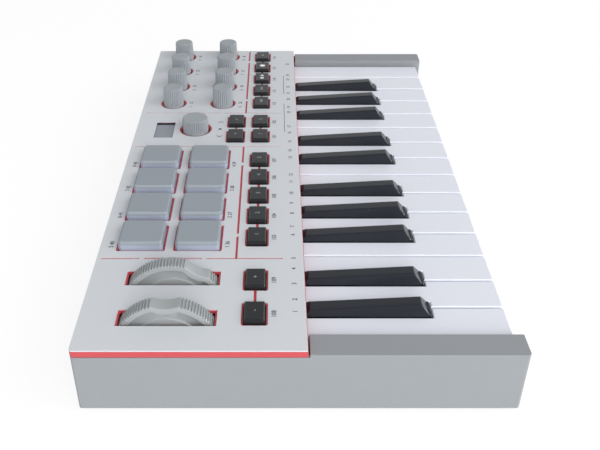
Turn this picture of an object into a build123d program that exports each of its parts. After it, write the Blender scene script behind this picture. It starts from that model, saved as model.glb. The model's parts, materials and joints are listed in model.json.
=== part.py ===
"""Compact 25-key MIDI keyboard controller, modelled as its separate pieces.

Frame: origin at the centre of the footprint on the surface it stands on, +X along the keys from
the lowest note to the highest, +Y from the player towards the back, +Z up.  Millimetres.
"""

from build123d import *
import os
from math import cos, radians, sin, sqrt

# ---------------------------------------------------------------- overall body
BODY_LENGTH = 318.0  # along X
BODY_DEPTH = 188.0  # along Y
CORNER_RADIUS = 1.5  # upright corners of the case
CASE_CHAMFER = 0.8  # round the underside
FOOT_HEIGHT = 1.5  # clear height under the case
CASE_HEIGHT = 29.9  # underside of the case to its rim
WALL = 2.2  # case walls
FLOOR = 1.8  # case floor
RIM_REVEAL = 0.35  # shadow gap between the case rim and the frame
CHEEK_WIDTH = 12.8  # block at each end of the keys
KEY_SIDE_GAP = 2.2  # outermost key joint to the block beside it
CHEEK_RISE = 1.5  # cheek top above the case rim
CHEEK_GAP = 0.8  # cheek to the front edge of the frame
RAIL_HEIGHT = 12.0  # low front wall of the case, under the key fronts

# ---------------------------------------------------------------- deck: red frame and grey panel
DECK_FRONT_Y = -3.0  # front edge of the panel
PANEL_THICK = 0.5
FRAME_SKIN = 1.4  # thickness of the frame's deck
FRAME_EDGE = 3.05  # depth of the frame's outer band
FRAME_BAND = 1.8  # width of the frame's outer band
FRAME_LIP = 0.25  # the frame's front edge shows past the panel's
LIP_CLEARANCE = 0.2  # locating lip to the case wall
LIP_DEPTH = 3.0
LIP_THICK = 1.2
LINE_WIDTH = 1.1  # slots in the panel that show the frame

# ---------------------------------------------------------------- keys
WHITE_COUNT = 15
KEY_GAP = 1.0  # between two white keys
WHITE_FRONT_INSET = 3.2  # white key fronts behind the cheek fronts
WHITE_TOP = 28.0  # above the underside of the case
WHITE_SKIRT = 14.0  # height of a white key's front face
WHITE_CORNER = 1.2  # cut off the front corners in plan
WHITE_EDGE = 0.5  # bevel round the playing face
KEY_SHELL = 1.6  # key side walls
KEY_ROOF = 2.0  # key top wall
BLACK_WIDTH = 9.7  # at the white keys' playing face
BLACK_TOP_WIDTH = 5.3  # at the front crest
BLACK_TOP_FLARE = 0.6  # wider than that at the deck
BLACK_CLEARANCE = 0.7  # to the cut-outs in the white keys
BLACK_LENGTH = 55.1  # front foot to the panel's edge
BLACK_RISE_BACK = 2.1  # above the white keys, at the panel
BLACK_RISE_FRONT = 5.3  # above the white keys, at the front crest
BLACK_CREST = 4.5  # foot to crest, along Y
BLACK_LEDGE = 1.2  # flat foot in front of the slope
BLACK_LEDGE_RISE = 1.0
BLACK_BEVEL = 1.0  # bevel beside the top, at the front crest
BLACK_BEVEL_BACK = 0.3  # the same at the deck
BLACK_SKIRT = 12.0  # depth of the black keys below the white keys' face
PAIR_SHIFT = 1.5  # C# and D# away from their white joints
TRIO_SHIFT = 2.35  # F# and A# away from theirs
TAIL_LENGTH = 5.2  # key bodies reach this far under the deck
STEM_WIDTH_WHITE = 9.0
STEM_WIDTH_BLACK = 7.0
STEM_HEIGHT = 5.2
HINGE_SETBACK = 29.0  # pivot bar behind the deck's front edge
HINGE_HEIGHT = 18.5  # pivot bar above the underside of the case
PIVOT_DIAMETER = 3.0
PIVOT_CLEARANCE = 0.08  # bar to the keys' hooks, all round
STEM_END = 3.0  # stem past the pivot axis
PIVOT_RIB_STEP = 2  # the bar has a rib beside every second stem
WHITE_SWING = 2.4  # degrees
BLACK_SWING = 2.7  # degrees
UPSTOP_GAP = 0.35  # stems to the frame's stop rib
UPSTOP_WIDTH = 2.0
UPSTOP_SETBACK = 7.2  # stop rib behind the deck's front edge

# ---------------------------------------------------------------- keybed
KEYBED_RAISE = 2.0  # underside of the tray above the case floor
KEYBED_THICK = 2.0
KEYBED_SIDE_GAP = 1.2  # tray to the cheeks
KEYBED_RIB = 1.8
PIVOT_RIB_DEPTH = 7.0
GUIDE_THICK = 2.0
GUIDE_GAP = 0.4
GUIDE_HEIGHT = 13.5
GUIDE_WHITE_SETBACK = 12.0  # behind the white key fronts
GUIDE_BLACK_SETBACK = 8.0  # behind the black key fronts
FELT_THICK = 1.3
FELT_DEPTH = 5.0
FELT_RAIL = 1.7
CONTACT_BOARD_DEPTH = 16.0
CONTACT_CENTRE_Y = -20.0
DOME_HEIGHT = 2.3
DOME_SIZE = 5.0
DOME_SHEET = 0.8
DOME_TAPER = 20.0  # degrees
DOME_REACH = 0.1  # left between a pressed key's plunger and its dome
PLUNGER_SIZE = 3.0

# ---------------------------------------------------------------- controls on the deck
BUTTON_HOLE_LENGTH = 15.3
BUTTON_HOLE_WIDTH = 11.4
HOLE_CORNER = 0.7  # cut off the corners of the panel's button and pad holes
BUTTON_GAP = 1.15  # cap to the edge of the panel's hole
BUTTON_RISE = 2.0  # cap top above the panel
BUTTON_TRAVEL = 0.6
BUTTON_DRAFT = 2.0  # degrees
BUTTON_EDGE = 0.5
BUTTON_CORNER = 0.4
BUTTON_FLANGE = 0.95
BUTTON_FLANGE_THICK = 0.9
BUTTON_PLAY = 0.1
BUTTON_STEM = 4.4
BUTTON_LEDGE = 0.75  # frame shows this much inside a button hole
LINK_WIDTH = 1.3

PAD_LENGTH = 19.8  # along X
PAD_WIDTH = 21.0  # along Y
PAD_CORNER = 1.2
PAD_EDGE = 0.9
PAD_RISE = 4.2
PAD_GAP = 0.25  # pad to the frame
PAD_LEDGE = 0.9  # frame shows this much inside the panel's hole
PAD_SHEET = 1.4
PAD_SHEET_MARGIN = 0.9
PAD_FOOT = 14.0  # block under each pad that presses the film

KNOB_BASE_DIAMETER = 12.9
KNOB_TOP_DIAMETER = 12.0
KNOB_RISE = 11.5
KNOB_HOLE_DIAMETER = 16.4
KNOB_EDGE = 0.6
KNOB_FLUTES = 20
KNOB_FLUTE_DEPTH = 0.35
ENCODER_DIAMETER = 15.5
ENCODER_TOP_DIAMETER = 15.2
ENCODER_RISE = 7.7
ENCODER_HOLE_DIAMETER = 19.5
ENCODER_FLUTES = 24
KNOB_LEDGE = 1.2  # frame shows this much inside a round hole
HIDDEN_SIDES = 12  # flats round a round hole in the frame
KNOB_FOOT_GAP = 0.1  # knob underside above the underside of the frame's deck
SHAFT_DIAMETER = 5.0
BUSH_CLEARANCE = 0.05  # shaft in the sensor

WINDOW_LENGTH = 20.5
WINDOW_WIDTH = 11.3
WINDOW_OVERLAP = 1.0
WINDOW_THICK = 1.1
WINDOW_SINK = 0.6  # below the frame's deck
WINDOW_GAP = 0.1
WINDOW_EDGE = 0.25

# ---------------------------------------------------------------- wheels
WHEEL_FRONT_GAP = 3.6  # rim to the keybed
WHEEL_RADIUS = 23.3
WHEEL_WIDTH = 6.9
WHEEL_RISE = 9.6  # rim top above the panel
WHEEL_RIM = 3.2
WHEEL_WEB = 2.9
WHEEL_HUB = 5.0  # radius
WHEEL_STEP_RADIUS = 15.1
WHEEL_STEP = 0.7
WHEEL_SWEEP = 95.0  # rim either side of the notch, degrees
WHEEL_NOTCH_RADIUS = 13.5
WHEEL_NOTCH_HALF = 6.0
KNURL_FIRST = 17.5  # degrees from the notch
KNURL_STEP = 3.1
KNURL_COUNT = 10
KNURL_DEPTH = 0.45
KNURL_WIDTH = 1.0
WHEEL_END_GAP = 2.55  # slot past the wheel, along Y
WHEEL_SIDE_GAP = 1.9
WHEEL_END_LEDGE = 0.8  # frame shows this much inside the ends of a wheel slot
WHEEL_SIDE_LEDGE = 0.4
AXLE_DIAMETER = 4.0
AXLE_CLEARANCE = 0.05
AXLE_END = 0.4  # axle past its bearing
BEARING_WALL = 2.0
BEARING_WIDTH = 9.0
KEEPER_GAP = 0.1  # frame rib above the axle
KEEPER_SIDE_GAP = 0.15
BEARING_SIDE_GAP = 0.8
BEARING_RISE = 3.4  # bearing post above the axle centre
SENSOR_SIZE = 9.0
SENSOR_THICK = 3.6
MOD_REST = 30.5  # the modulation wheel's notch rests this far forward

# ---------------------------------------------------------------- boards, sockets, fastening
BOARD_DROP = 8.3  # board's upper face below the panel's face
BOARD_THICK = 1.6
BOARD_SETBACK = 12.0  # board behind the deck's front edge
BOARD_END_GAP = 4.8  # board to the right wall
BOARD_BACK_GAP = 8.8
SMALL_BOARD_MARGIN = 2.0  # past the octave buttons' holes
SWITCH_SIZE = 6.0
SWITCH_HEIGHT = 2.4
ACTUATOR_SIZE = 3.0
ACTUATOR_HEIGHT = 0.5
SENSOR_BODY = 9.6
SENSOR_HEIGHT = 5.0
SENSOR_FLOOR = 0.3  # under each shaft's bore
SHAFT_END_GAP = 0.4  # shaft end to the bottom of that bore
FILM_THICK = 0.3
BOSS_SIZE = 4.4
BOSS_EDGE_GAP = 1.0
POST_DIAMETER = 7.0
POST_SPLIT = 20.0  # joint between case posts and frame posts, above the case underside
POST_CLEARANCE = 0.5  # to the edges of boards
SCREW_CLEARANCE_HOLE = 3.2
SCREW_PILOT = 2.5
SCREW_PILOT_DEPTH = 9.0
SCREW_HEAD_WELL = 6.4  # across
WELL_SIDES = 12
SCREW_SEAT = 9.5  # post left above the head, under the split
CASE_POST_DIAMETER = 8.4  # post round the head's well
POST_WALL_GAP = 4.6  # post centre to the case wall
POST_KEYBED_GAP = 0.8
POST_BUTTON_GAP = 0.9
JACK_DROP = 7.0  # jack axis below the board
JACK_BODY = 12.0
JACK_DEPTH = 17.0
SUSTAIN_BORE = 6.4
SUSTAIN_NOSE = 9.0
BORE_END = 2.0  # closed end behind the jack's bore
TAB_MARGIN = 9.0  # board past the sockets' centres
USB_WIDTH = 12.0  # metal shell
USB_HEIGHT = 11.0
USB_MOUTH_WIDTH = 8.5
USB_MOUTH_HEIGHT = 7.8
USB_MOUTH_CUT = 1.8  # cut off the mouth's lower corners
USB_MOUTH_DEPTH = 9.2
USB_TONGUE_WIDTH = 5.6
USB_TONGUE_HEIGHT = 3.2
USB_TONGUE_DEPTH = 8.2
USB_DEPTH = 16.0
NOSE_GAP = 0.15  # socket noses in the case wall
FOOT_LENGTH = 18.0
FOOT_WIDTH = 9.0
FOOT_CORNER = 1.5
FOOT_POCKET = 0.6
FOOT_EDGE = 0.4
FOOT_INSET_X = 20.0
FOOT_INSET_Y = 20.0
FOOT_POCKET_GAP = 0.1

# ---------------------------------------------------------------- places on the deck
# Across, in white keys from the middle.
OCTAVE_FIRST, OCTAVE_STEP, OCTAVE_COUNT = -7.083, 1.2135, 2
MODE_FIRST, MODE_COUNT = -4.12, 5
SELECT_FIRST, SELECT_COUNT = 1.32, 2
TRANSPORT_FIRST, TRANSPORT_COUNT = 3.667, 5
BUTTON_STEP = 0.987
PAD_FIRST, PAD_STEP, PAD_COLUMNS = -4.138, 1.341, 4
KNOB_FIRST, KNOB_STEP, KNOB_COLUMNS = 3.677, 1.328, 4
ENCODER_PLACE = 1.823
WINDOW_PLACE = 1.784
WHEEL_FIRST, WHEEL_STEP_ACROSS = -7.216, 1.427
BOARD_START = -5.104
USB_PLACE = -4.323
SUSTAIN_PLACE = -3.333
BACK_POSTS = (0.833, 3.906)
CROSS_LINES = (-5.01, 0.682, 2.964)
LONG_LINES = ((-5.01, -4.081), (-3.922, -0.453), (-0.271, 0.682), (2.964, 3.87), (4.026, 7.12))
LAST_LINE_START = 7.307
# Deep, as a share of the deck from its front edge to its back edge.
FRONT_ROW = 0.2278
BACK_ROW = 0.3794
LONG_LINE_ROW = 0.3253
CROSS_LINE_ROWS = ((0.106, 0.466), (0.496, 0.766), (0.799, 0.973))
PAD_ROW_FIRST, PAD_ROW_STEP, PAD_ROWS = 0.5186, 0.2794, 2
KNOB_ROW_FIRST, KNOB_ROW_STEP, KNOB_ROWS = 0.4814, 0.3237, 2
ENCODER_ROW = 0.6309
WINDOW_ROW = 0.8232

# ---------------------------------------------------------------- levels and edges worked out from the above
BASE_Z = FOOT_HEIGHT
FLOOR_Z = BASE_Z + FLOOR
RIM_Z = BASE_Z + CASE_HEIGHT
FRAME_BOTTOM_Z = RIM_Z + RIM_REVEAL
FRAME_TOP_Z = FRAME_BOTTOM_Z + FRAME_EDGE
SKIN_Z = FRAME_TOP_Z - FRAME_SKIN
PANEL_Z = FRAME_TOP_Z + PANEL_THICK
CHEEK_Z = RIM_Z + CHEEK_RISE
HALF_LENGTH = BODY_LENGTH / 2
HALF_DEPTH = BODY_DEPTH / 2
INNER_X = HALF_LENGTH - WALL
BACK_INNER_Y = HALF_DEPTH - WALL
WELL_X = HALF_LENGTH - CHEEK_WIDTH
KEY_PITCH = 2 * (WELL_X - KEY_SIDE_GAP) / WHITE_COUNT
FRAME_FRONT_Y = DECK_FRONT_Y - FRAME_LIP
CHEEK_END_Y = FRAME_FRONT_Y - CHEEK_GAP
DECK_DEPTH = HALF_DEPTH - DECK_FRONT_Y
WHITE_Z = BASE_Z + WHITE_TOP
WHITE_FRONT_Y = -HALF_DEPTH + WHITE_FRONT_INSET
BLACK_FRONT_Y = DECK_FRONT_Y - BLACK_LENGTH
NOTCH_Y = BLACK_FRONT_Y - BLACK_CLEARANCE
TAIL_Y = DECK_FRONT_Y + TAIL_LENGTH
HINGE_Y = DECK_FRONT_Y + HINGE_SETBACK
HINGE_Z = BASE_Z + HINGE_HEIGHT
PIVOT_SLOT = PIVOT_DIAMETER / 2 + PIVOT_CLEARANCE
STEM_TOP_Z = HINGE_Z + STEM_HEIGHT / 2
STEM_BOTTOM_Z = HINGE_Z - STEM_HEIGHT / 2
TRAY_Z = FLOOR_Z + KEYBED_RAISE
TRAY_TOP_Z = TRAY_Z + KEYBED_THICK
KEYBED_BACK_Y = HINGE_Y + PIVOT_RIB_DEPTH / 2
BOARD_TOP_Z = PANEL_Z - BOARD_DROP
BOARD_Z = BOARD_TOP_Z - BOARD_THICK
BOARD_LEFT_X = BOARD_START * KEY_PITCH
BOARD_RIGHT_X = INNER_X - BOARD_END_GAP
BOARD_FRONT_Y = DECK_FRONT_Y + BOARD_SETBACK
BOARD_BACK_Y = BACK_INNER_Y - BOARD_BACK_GAP
WHEEL_Y = KEYBED_BACK_Y + WHEEL_FRONT_GAP + WHEEL_RADIUS
WHEEL_Z = PANEL_Z + WHEEL_RISE - WHEEL_RADIUS
WHEEL_SLOT_LENGTH = 2 * (sqrt(WHEEL_RADIUS**2 - (WHEEL_RADIUS - WHEEL_RISE) ** 2) + WHEEL_END_GAP)
WHEEL_SLOT_WIDTH = WHEEL_WIDTH + 2 * WHEEL_SIDE_GAP
SPLIT_Z = BASE_Z + POST_SPLIT
SWITCH_TOP_Z = BOARD_TOP_Z + SWITCH_HEIGHT
ACTUATOR_Z = SWITCH_TOP_Z + ACTUATOR_HEIGHT
CONTACT_Z = TRAY_TOP_Z + BOARD_THICK
DOME_TOP_Z = CONTACT_Z + DOME_SHEET + DOME_HEIGHT
SUSTAIN_Z = BOARD_Z - JACK_DROP
USB_Z = BOARD_Z - USB_HEIGHT / 2
CAP_LENGTH = BUTTON_HOLE_LENGTH - 2 * BUTTON_GAP
CAP_WIDTH = BUTTON_HOLE_WIDTH - 2 * BUTTON_GAP


def write(shape, name):
    """Keep one piece as its own STEP file."""
    shape.label = name
    export_step(shape, f"parts/{name}.step")


def block(x0, x1, y0, y1, z0, z1):
    """A box between two corners."""
    return Pos((x0 + x1) / 2, (y0 + y1) / 2, (z0 + z1) / 2) * Box(x1 - x0, y1 - y0, z1 - z0)


def cut_corners(length, width, corner):
    """A rectangle, with its corners cut off if a corner is given."""
    face = Rectangle(length, width)
    return chamfer(face.vertices(), corner) if corner else face


def slab(x, y, length, width, corner, z0, z1):
    """An upright plate with cut corners, centred at x, y."""
    return Pos(x, y, z0) * extrude(cut_corners(length, width, corner), z1 - z0)


def prism(x, y, across_flats, z0, z1, sides=8):
    """An upright prism, measured across its flats."""
    return Pos(x, y, z0) * extrude(RegularPolygon(across_flats / 2, sides, major_radius=False), z1 - z0)


def post(x, y, diameter, z0, z1):
    """An upright cylinder."""
    return Pos(x, y, (z0 + z1) / 2) * Cylinder(diameter / 2, z1 - z0)


def along_x(profile, x0, x1):
    """Carry a profile drawn in Y and Z from x0 to x1."""
    plane = Plane(origin=(x0, 0, 0), x_dir=(0, 1, 0), z_dir=(1, 0, 0))
    return extrude(plane * profile, x1 - x0, dir=(1, 0, 0))


def outline(*points):
    """A flat face through the given corners, in the drawing's own coordinates."""
    return Polygon(*points, align=None)


def row(first, pitch, count):
    """Centres of an evenly spaced row."""
    return [first + pitch * i for i in range(count)]


def across(first, step, count):
    """A row along X, given in white keys from the middle."""
    return [place * KEY_PITCH for place in row(first, step, count)]


def deep(share):
    """A place along Y, given as a share of the deck."""
    return DECK_FRONT_Y + share * DECK_DEPTH


# ---------------------------------------------------------------- where the controls are
OCTAVE_XS = across(OCTAVE_FIRST, OCTAVE_STEP, OCTAVE_COUNT)
MODE_XS = across(MODE_FIRST, BUTTON_STEP, MODE_COUNT)
SELECT_XS = across(SELECT_FIRST, BUTTON_STEP, SELECT_COUNT)
TRANSPORT_XS = across(TRANSPORT_FIRST, BUTTON_STEP, TRANSPORT_COUNT)
FRONT_ROW_Y = deep(FRONT_ROW)
BUTTON_GROUPS = {
    "octave_button": (OCTAVE_XS, FRONT_ROW_Y),
    "mode_button": (MODE_XS, FRONT_ROW_Y),
    "bank_button": (SELECT_XS, FRONT_ROW_Y),
    "select_button": (SELECT_XS, deep(BACK_ROW)),
    "transport_button": (TRANSPORT_XS, FRONT_ROW_Y),
}
BUTTON_PLACES = [
    (f"{group}_{i + 1}", x, y) for group, (xs, y) in BUTTON_GROUPS.items() for i, x in enumerate(xs)
]
KNOB_XS = across(KNOB_FIRST, KNOB_STEP, KNOB_COLUMNS)
KNOB_YS = [deep(share) for share in row(KNOB_ROW_FIRST, KNOB_ROW_STEP, KNOB_ROWS)]
KNOB_PLACES = [(x, y) for y in reversed(KNOB_YS) for x in KNOB_XS]
ENCODER_X, ENCODER_Y = ENCODER_PLACE * KEY_PITCH, deep(ENCODER_ROW)
PAD_XS = across(PAD_FIRST, PAD_STEP, PAD_COLUMNS)
PAD_YS = [deep(share) for share in row(PAD_ROW_FIRST, PAD_ROW_STEP, PAD_ROWS)]
PAD_PLACES = [(x, y) for y in PAD_YS for x in PAD_XS]
PAD_MIDDLE_X, PAD_MIDDLE_Y = (PAD_XS[0] + PAD_XS[-1]) / 2, (PAD_YS[0] + PAD_YS[-1]) / 2
PAD_FIELD_LENGTH = PAD_XS[-1] - PAD_XS[0] + PAD_LENGTH
PAD_FIELD_WIDTH = PAD_YS[-1] - PAD_YS[0] + PAD_WIDTH
WINDOW_X, WINDOW_Y = WINDOW_PLACE * KEY_PITCH, deep(WINDOW_ROW)
WHEEL_XS = across(WHEEL_FIRST, WHEEL_STEP_ACROSS, 2)
USB_X, SUSTAIN_X = USB_PLACE * KEY_PITCH, SUSTAIN_PLACE * KEY_PITCH
FOOT_PLACES = [
    (x * (HALF_LENGTH - FOOT_INSET_X), y * (HALF_DEPTH - FOOT_INSET_Y)) for y in (-1, 1) for x in (-1, 0, 1)
]
BLACK_CUT = BLACK_WIDTH + 2 * BLACK_CLEARANCE


def white_name(index):
    """Note name of a white key, counted from the left."""
    return f"key_{'cdefgab'[index % 7]}{index // 7 + 1}"


def black_joints():
    """White key joints that carry a black key: (index of the white key on its left, shift, name)."""
    shifts = {0: -PAIR_SHIFT, 1: PAIR_SHIFT, 3: -TRIO_SHIFT, 4: 0.0, 5: TRIO_SHIFT}
    return [
        (i, shifts[i % 7], f"key_{'cdefgab'[i % 7]}_sharp{i // 7 + 1}")
        for i in range(WHITE_COUNT - 1)
        if i % 7 in shifts
    ]


def white_edge_x(index):
    """Joint on the left of a white key."""
    return (index - WHITE_COUNT / 2) * KEY_PITCH


BLACK_XS = {i: white_edge_x(i + 1) + shift for i, shift, _ in black_joints()}


def white_span(index):
    """Left and right edges of a white key: (full width, tail between the black keys)."""
    left = white_edge_x(index) + KEY_GAP / 2
    right = white_edge_x(index + 1) - KEY_GAP / 2
    tail_left = BLACK_XS[index - 1] + BLACK_CUT / 2 if index - 1 in BLACK_XS else left
    tail_right = BLACK_XS[index] - BLACK_CUT / 2 if index in BLACK_XS else right
    return (left, right), (tail_left, tail_right)


def white_outline(index, inset):
    """Plan of a white key, drawn in by inset all round."""
    (left, right), (tail_left, tail_right) = white_span(index)
    front, notch, end = WHITE_FRONT_Y + inset, NOTCH_Y - inset, TAIL_Y - inset
    points = [(left + inset, front), (right - inset, front)]
    if tail_right < right:
        points += [(right - inset, notch), (tail_right - inset, notch)]
    points += [(tail_right - inset, end), (tail_left + inset, end)]
    if tail_left > left:
        points += [(tail_left + inset, notch), (left + inset, notch)]
    return outline(*points)


def key_stem(x, width):
    """Arm under the deck that ends in a hook over the pivot bar."""
    x0, x1 = x - width / 2, x + width / 2
    arm = block(x0, x1, TAIL_Y - KEY_SHELL, HINGE_Y + STEM_END, STEM_BOTTOM_Z, STEM_TOP_Z)
    slot_z = HINGE_Z + PIVOT_SLOT
    return arm - block(x0, x1, HINGE_Y - PIVOT_SLOT, HINGE_Y + PIVOT_SLOT, STEM_BOTTOM_Z, slot_z)


def plunger(x, swing, roof_z):
    """Rib inside a key that presses its rubber dome."""
    half = PLUNGER_SIZE / 2
    reach = HINGE_Y - CONTACT_CENTRE_Y + half
    tip_z = DOME_TOP_Z + DOME_REACH + reach * sin(radians(swing))
    return block(x - half, x + half, CONTACT_CENTRE_Y - half, CONTACT_CENTRE_Y + half, tip_z, roof_z)


def white_key(index):
    """A shell open underneath, notched for its black neighbours, on a stem."""
    base_z = WHITE_Z - WHITE_SKIRT
    body = Pos(0, 0, base_z) * extrude(white_outline(index, 0), WHITE_SKIRT)
    front = body.edges().filter_by(Axis.Z).group_by(Axis.Y)[0]
    body = chamfer(front, WHITE_CORNER)
    body = chamfer(body.faces().sort_by(Axis.Z)[-1].edges(), WHITE_EDGE)
    body -= Pos(0, 0, base_z) * extrude(white_outline(index, KEY_SHELL), WHITE_SKIRT - KEY_ROOF)
    _, tail = white_span(index)
    x = sum(tail) / 2
    return body + key_stem(x, STEM_WIDTH_WHITE) + plunger(x, WHITE_SWING, WHITE_Z - KEY_ROOF / 2)


def black_section(top_z, top_width, bevel):
    """Cross-section of a black key: upright skirt, leaning sides, bevelled top."""
    half, crown = BLACK_WIDTH / 2, top_width / 2
    right = [(half, WHITE_Z - BLACK_SKIRT), (half, WHITE_Z), (crown + bevel, top_z - bevel), (crown, top_z)]
    return outline(*right, *[(-x, z) for x, z in reversed(right)])


def black_body(x):
    """Black key above its cavity, its side faces twisting from the deck to the crest."""
    crest_y = BLACK_FRONT_Y + BLACK_CREST
    slope = (BLACK_RISE_FRONT - BLACK_RISE_BACK) / (DECK_FRONT_Y - crest_y)

    def section(y, top_width, bevel):
        top_z = WHITE_Z + BLACK_RISE_BACK + slope * (DECK_FRONT_Y - y)
        plane = Plane(origin=(x, y, 0), x_dir=(1, 0, 0), z_dir=(0, -1, 0))
        return plane * black_section(top_z, top_width, bevel)

    tail = section(TAIL_Y, BLACK_TOP_WIDTH + BLACK_TOP_FLARE, BLACK_BEVEL_BACK)
    body = loft([tail, section(BLACK_FRONT_Y, BLACK_TOP_WIDTH, BLACK_BEVEL)], ruled=True)
    over = WHITE_Z + 2 * BLACK_RISE_FRONT
    ledge_z = WHITE_Z + BLACK_LEDGE_RISE
    front = outline(
        (crest_y, WHITE_Z + BLACK_RISE_FRONT),
        (BLACK_FRONT_Y + BLACK_LEDGE, ledge_z),
        (BLACK_FRONT_Y - 1, ledge_z),
        (BLACK_FRONT_Y - 1, over),
        (crest_y, over),
    )
    under_z = WHITE_Z + BLACK_LEDGE_RISE / 2
    back_y = DECK_FRONT_Y - BLACK_RISE_BACK
    back = outline(
        (back_y, WHITE_Z + BLACK_RISE_BACK + 0.2),
        (DECK_FRONT_Y, under_z),
        (TAIL_Y + 1, under_z),
        (TAIL_Y + 1, over),
        (back_y, over),
    )
    x0, x1 = x - BLACK_WIDTH, x + BLACK_WIDTH
    return body - along_x(front, x0, x1) - along_x(back, x0, x1)


def black_key(x):
    """A raised key: bevelled body, hollow underneath, on a stem."""
    half = BLACK_WIDTH / 2 - KEY_SHELL
    roof_z = WHITE_Z - KEY_ROOF
    body = black_body(x)
    front, end = BLACK_FRONT_Y + KEY_SHELL, TAIL_Y - KEY_SHELL
    body -= block(x - half, x + half, front, end, WHITE_Z - BLACK_SKIRT, roof_z)
    return body + key_stem(x, STEM_WIDTH_BLACK) + plunger(x, BLACK_SWING, roof_z + 1)


def stems():
    """Every key's stem as (centre, width), left to right."""
    white = [(sum(white_span(i)[1]) / 2, STEM_WIDTH_WHITE) for i in range(WHITE_COUNT)]
    return sorted(white + [(x, STEM_WIDTH_BLACK) for x in BLACK_XS.values()])


def rib_places():
    """Middles of the gaps beside every second stem, where the pivot bar's ribs stand."""
    places = stems()
    edges = [places[0][0] - places[0][1] / 2 - KEYBED_RIB]
    edges += [(x0 + w0 / 2 + x1 - w1 / 2) / 2 for (x0, w0), (x1, w1) in zip(places, places[1:])]
    edges += [places[-1][0] + places[-1][1] / 2 + KEYBED_RIB]
    return [*edges[:-1:PIVOT_RIB_STEP], edges[-1]]


def keybed():
    """Tray with a guide for each key, the steel pivot rod in its ribs, and the contact strip on top."""
    half = WELL_X - KEYBED_SIDE_GAP
    front = WHITE_FRONT_Y + 2
    tray = block(-half, half, front, KEYBED_BACK_Y, TRAY_Z, TRAY_TOP_Z)
    for y in (front, (front + KEYBED_BACK_Y) / 2, KEYBED_BACK_Y - KEYBED_RIB):
        tray += block(-half, half, y, y + KEYBED_RIB, FLOOR_Z, TRAY_Z)
    tray += block(-half, half, front, front + FELT_DEPTH, TRAY_TOP_Z, TRAY_TOP_Z + FELT_RAIL)
    ribs, half_rib = rib_places(), KEYBED_RIB / 2
    rib_y = HINGE_Y - PIVOT_RIB_DEPTH / 2
    tray += [block(x - half_rib, x + half_rib, rib_y, KEYBED_BACK_Y, TRAY_TOP_Z, STEM_TOP_Z) for x in ribs]
    radius = PIVOT_DIAMETER / 2
    y0, y1, z0, z1 = HINGE_Y - radius, HINGE_Y + radius, HINGE_Z - radius, HINGE_Z + radius
    tray -= block(ribs[0] - KEYBED_RIB, ribs[-1] + KEYBED_RIB, y0, y1, z0, z1)
    rod = along_x(Pos(HINGE_Y, HINGE_Z) * Circle(radius), ribs[0], ribs[-1])
    for i in range(WHITE_COUNT):
        (left, right), _ = white_span(i)
        tray += guide(left + KEY_SHELL, right - KEY_SHELL, WHITE_FRONT_Y + GUIDE_WHITE_SETBACK)
    for x in BLACK_XS.values():
        half_cavity = BLACK_WIDTH / 2 - KEY_SHELL
        tray += guide(x - half_cavity, x + half_cavity, BLACK_FRONT_Y + GUIDE_BLACK_SETBACK)
    felt_z = TRAY_TOP_Z + FELT_RAIL
    felt = block(-half, half, front, front + FELT_DEPTH, felt_z, felt_z + FELT_THICK)
    y0, y1 = CONTACT_CENTRE_Y - CONTACT_BOARD_DEPTH / 2, CONTACT_CENTRE_Y + CONTACT_BOARD_DEPTH / 2
    board = block(-half, half, y0, y1, TRAY_TOP_Z, CONTACT_Z)
    sheet_z = CONTACT_Z + DOME_SHEET
    y0, y1 = CONTACT_CENTRE_Y - DOME_SIZE, CONTACT_CENTRE_Y + DOME_SIZE
    strip = block(-half, half, y0, y1, CONTACT_Z, sheet_z)
    dome = extrude(Rectangle(DOME_SIZE, DOME_SIZE), DOME_HEIGHT, taper=DOME_TAPER)
    for x, _ in stems():
        strip += Pos(x, CONTACT_CENTRE_Y, sheet_z) * dome
    return Compound(children=[tray, rod, felt, board, strip])


def guide(x0, x1, y):
    """Upright tab that keeps one key's shell straight."""
    return block(x0 + GUIDE_GAP, x1 - GUIDE_GAP, y, y + GUIDE_THICK, TRAY_TOP_Z, TRAY_TOP_Z + GUIDE_HEIGHT)


# ---------------------------------------------------------------- deck
def deck_openings(z0, z1, ledge):
    """Every hole in the deck between two levels; ledge is 1 for the frame and 0 for the panel."""
    button = 2 * BUTTON_LEDGE * ledge
    pad = 2 * PAD_GAP + 2 * PAD_LEDGE * (1 - ledge)
    length = WHEEL_SLOT_LENGTH - 2 * WHEEL_END_LEDGE * ledge
    width = WHEEL_SLOT_WIDTH - 2 * WHEEL_SIDE_LEDGE * ledge
    holes = [(x, y, BUTTON_HOLE_LENGTH - button, BUTTON_HOLE_WIDTH - button) for _, x, y in BUTTON_PLACES]
    holes += [(x, y, PAD_LENGTH + pad, PAD_WIDTH + pad) for x, y in PAD_PLACES]
    slots = [(x, WHEEL_Y, width, length) for x in WHEEL_XS]
    rounds = [(x, y, KNOB_HOLE_DIAMETER) for x, y in KNOB_PLACES]
    rounds.append((ENCODER_X, ENCODER_Y, ENCODER_HOLE_DIAMETER))
    if ledge:
        cuts = [prism(x, y, size - 2 * KNOB_LEDGE, z0, z1, HIDDEN_SIDES) for x, y, size in rounds]
        slots += holes
    else:
        cuts = [post(x, y, size, z0, z1) for x, y, size in rounds]
        cuts += [slab(*hole, HOLE_CORNER, z0, z1) for hole in holes]
    return cuts + [slab(*slot, 0, z0, z1) for slot in slots]


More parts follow.
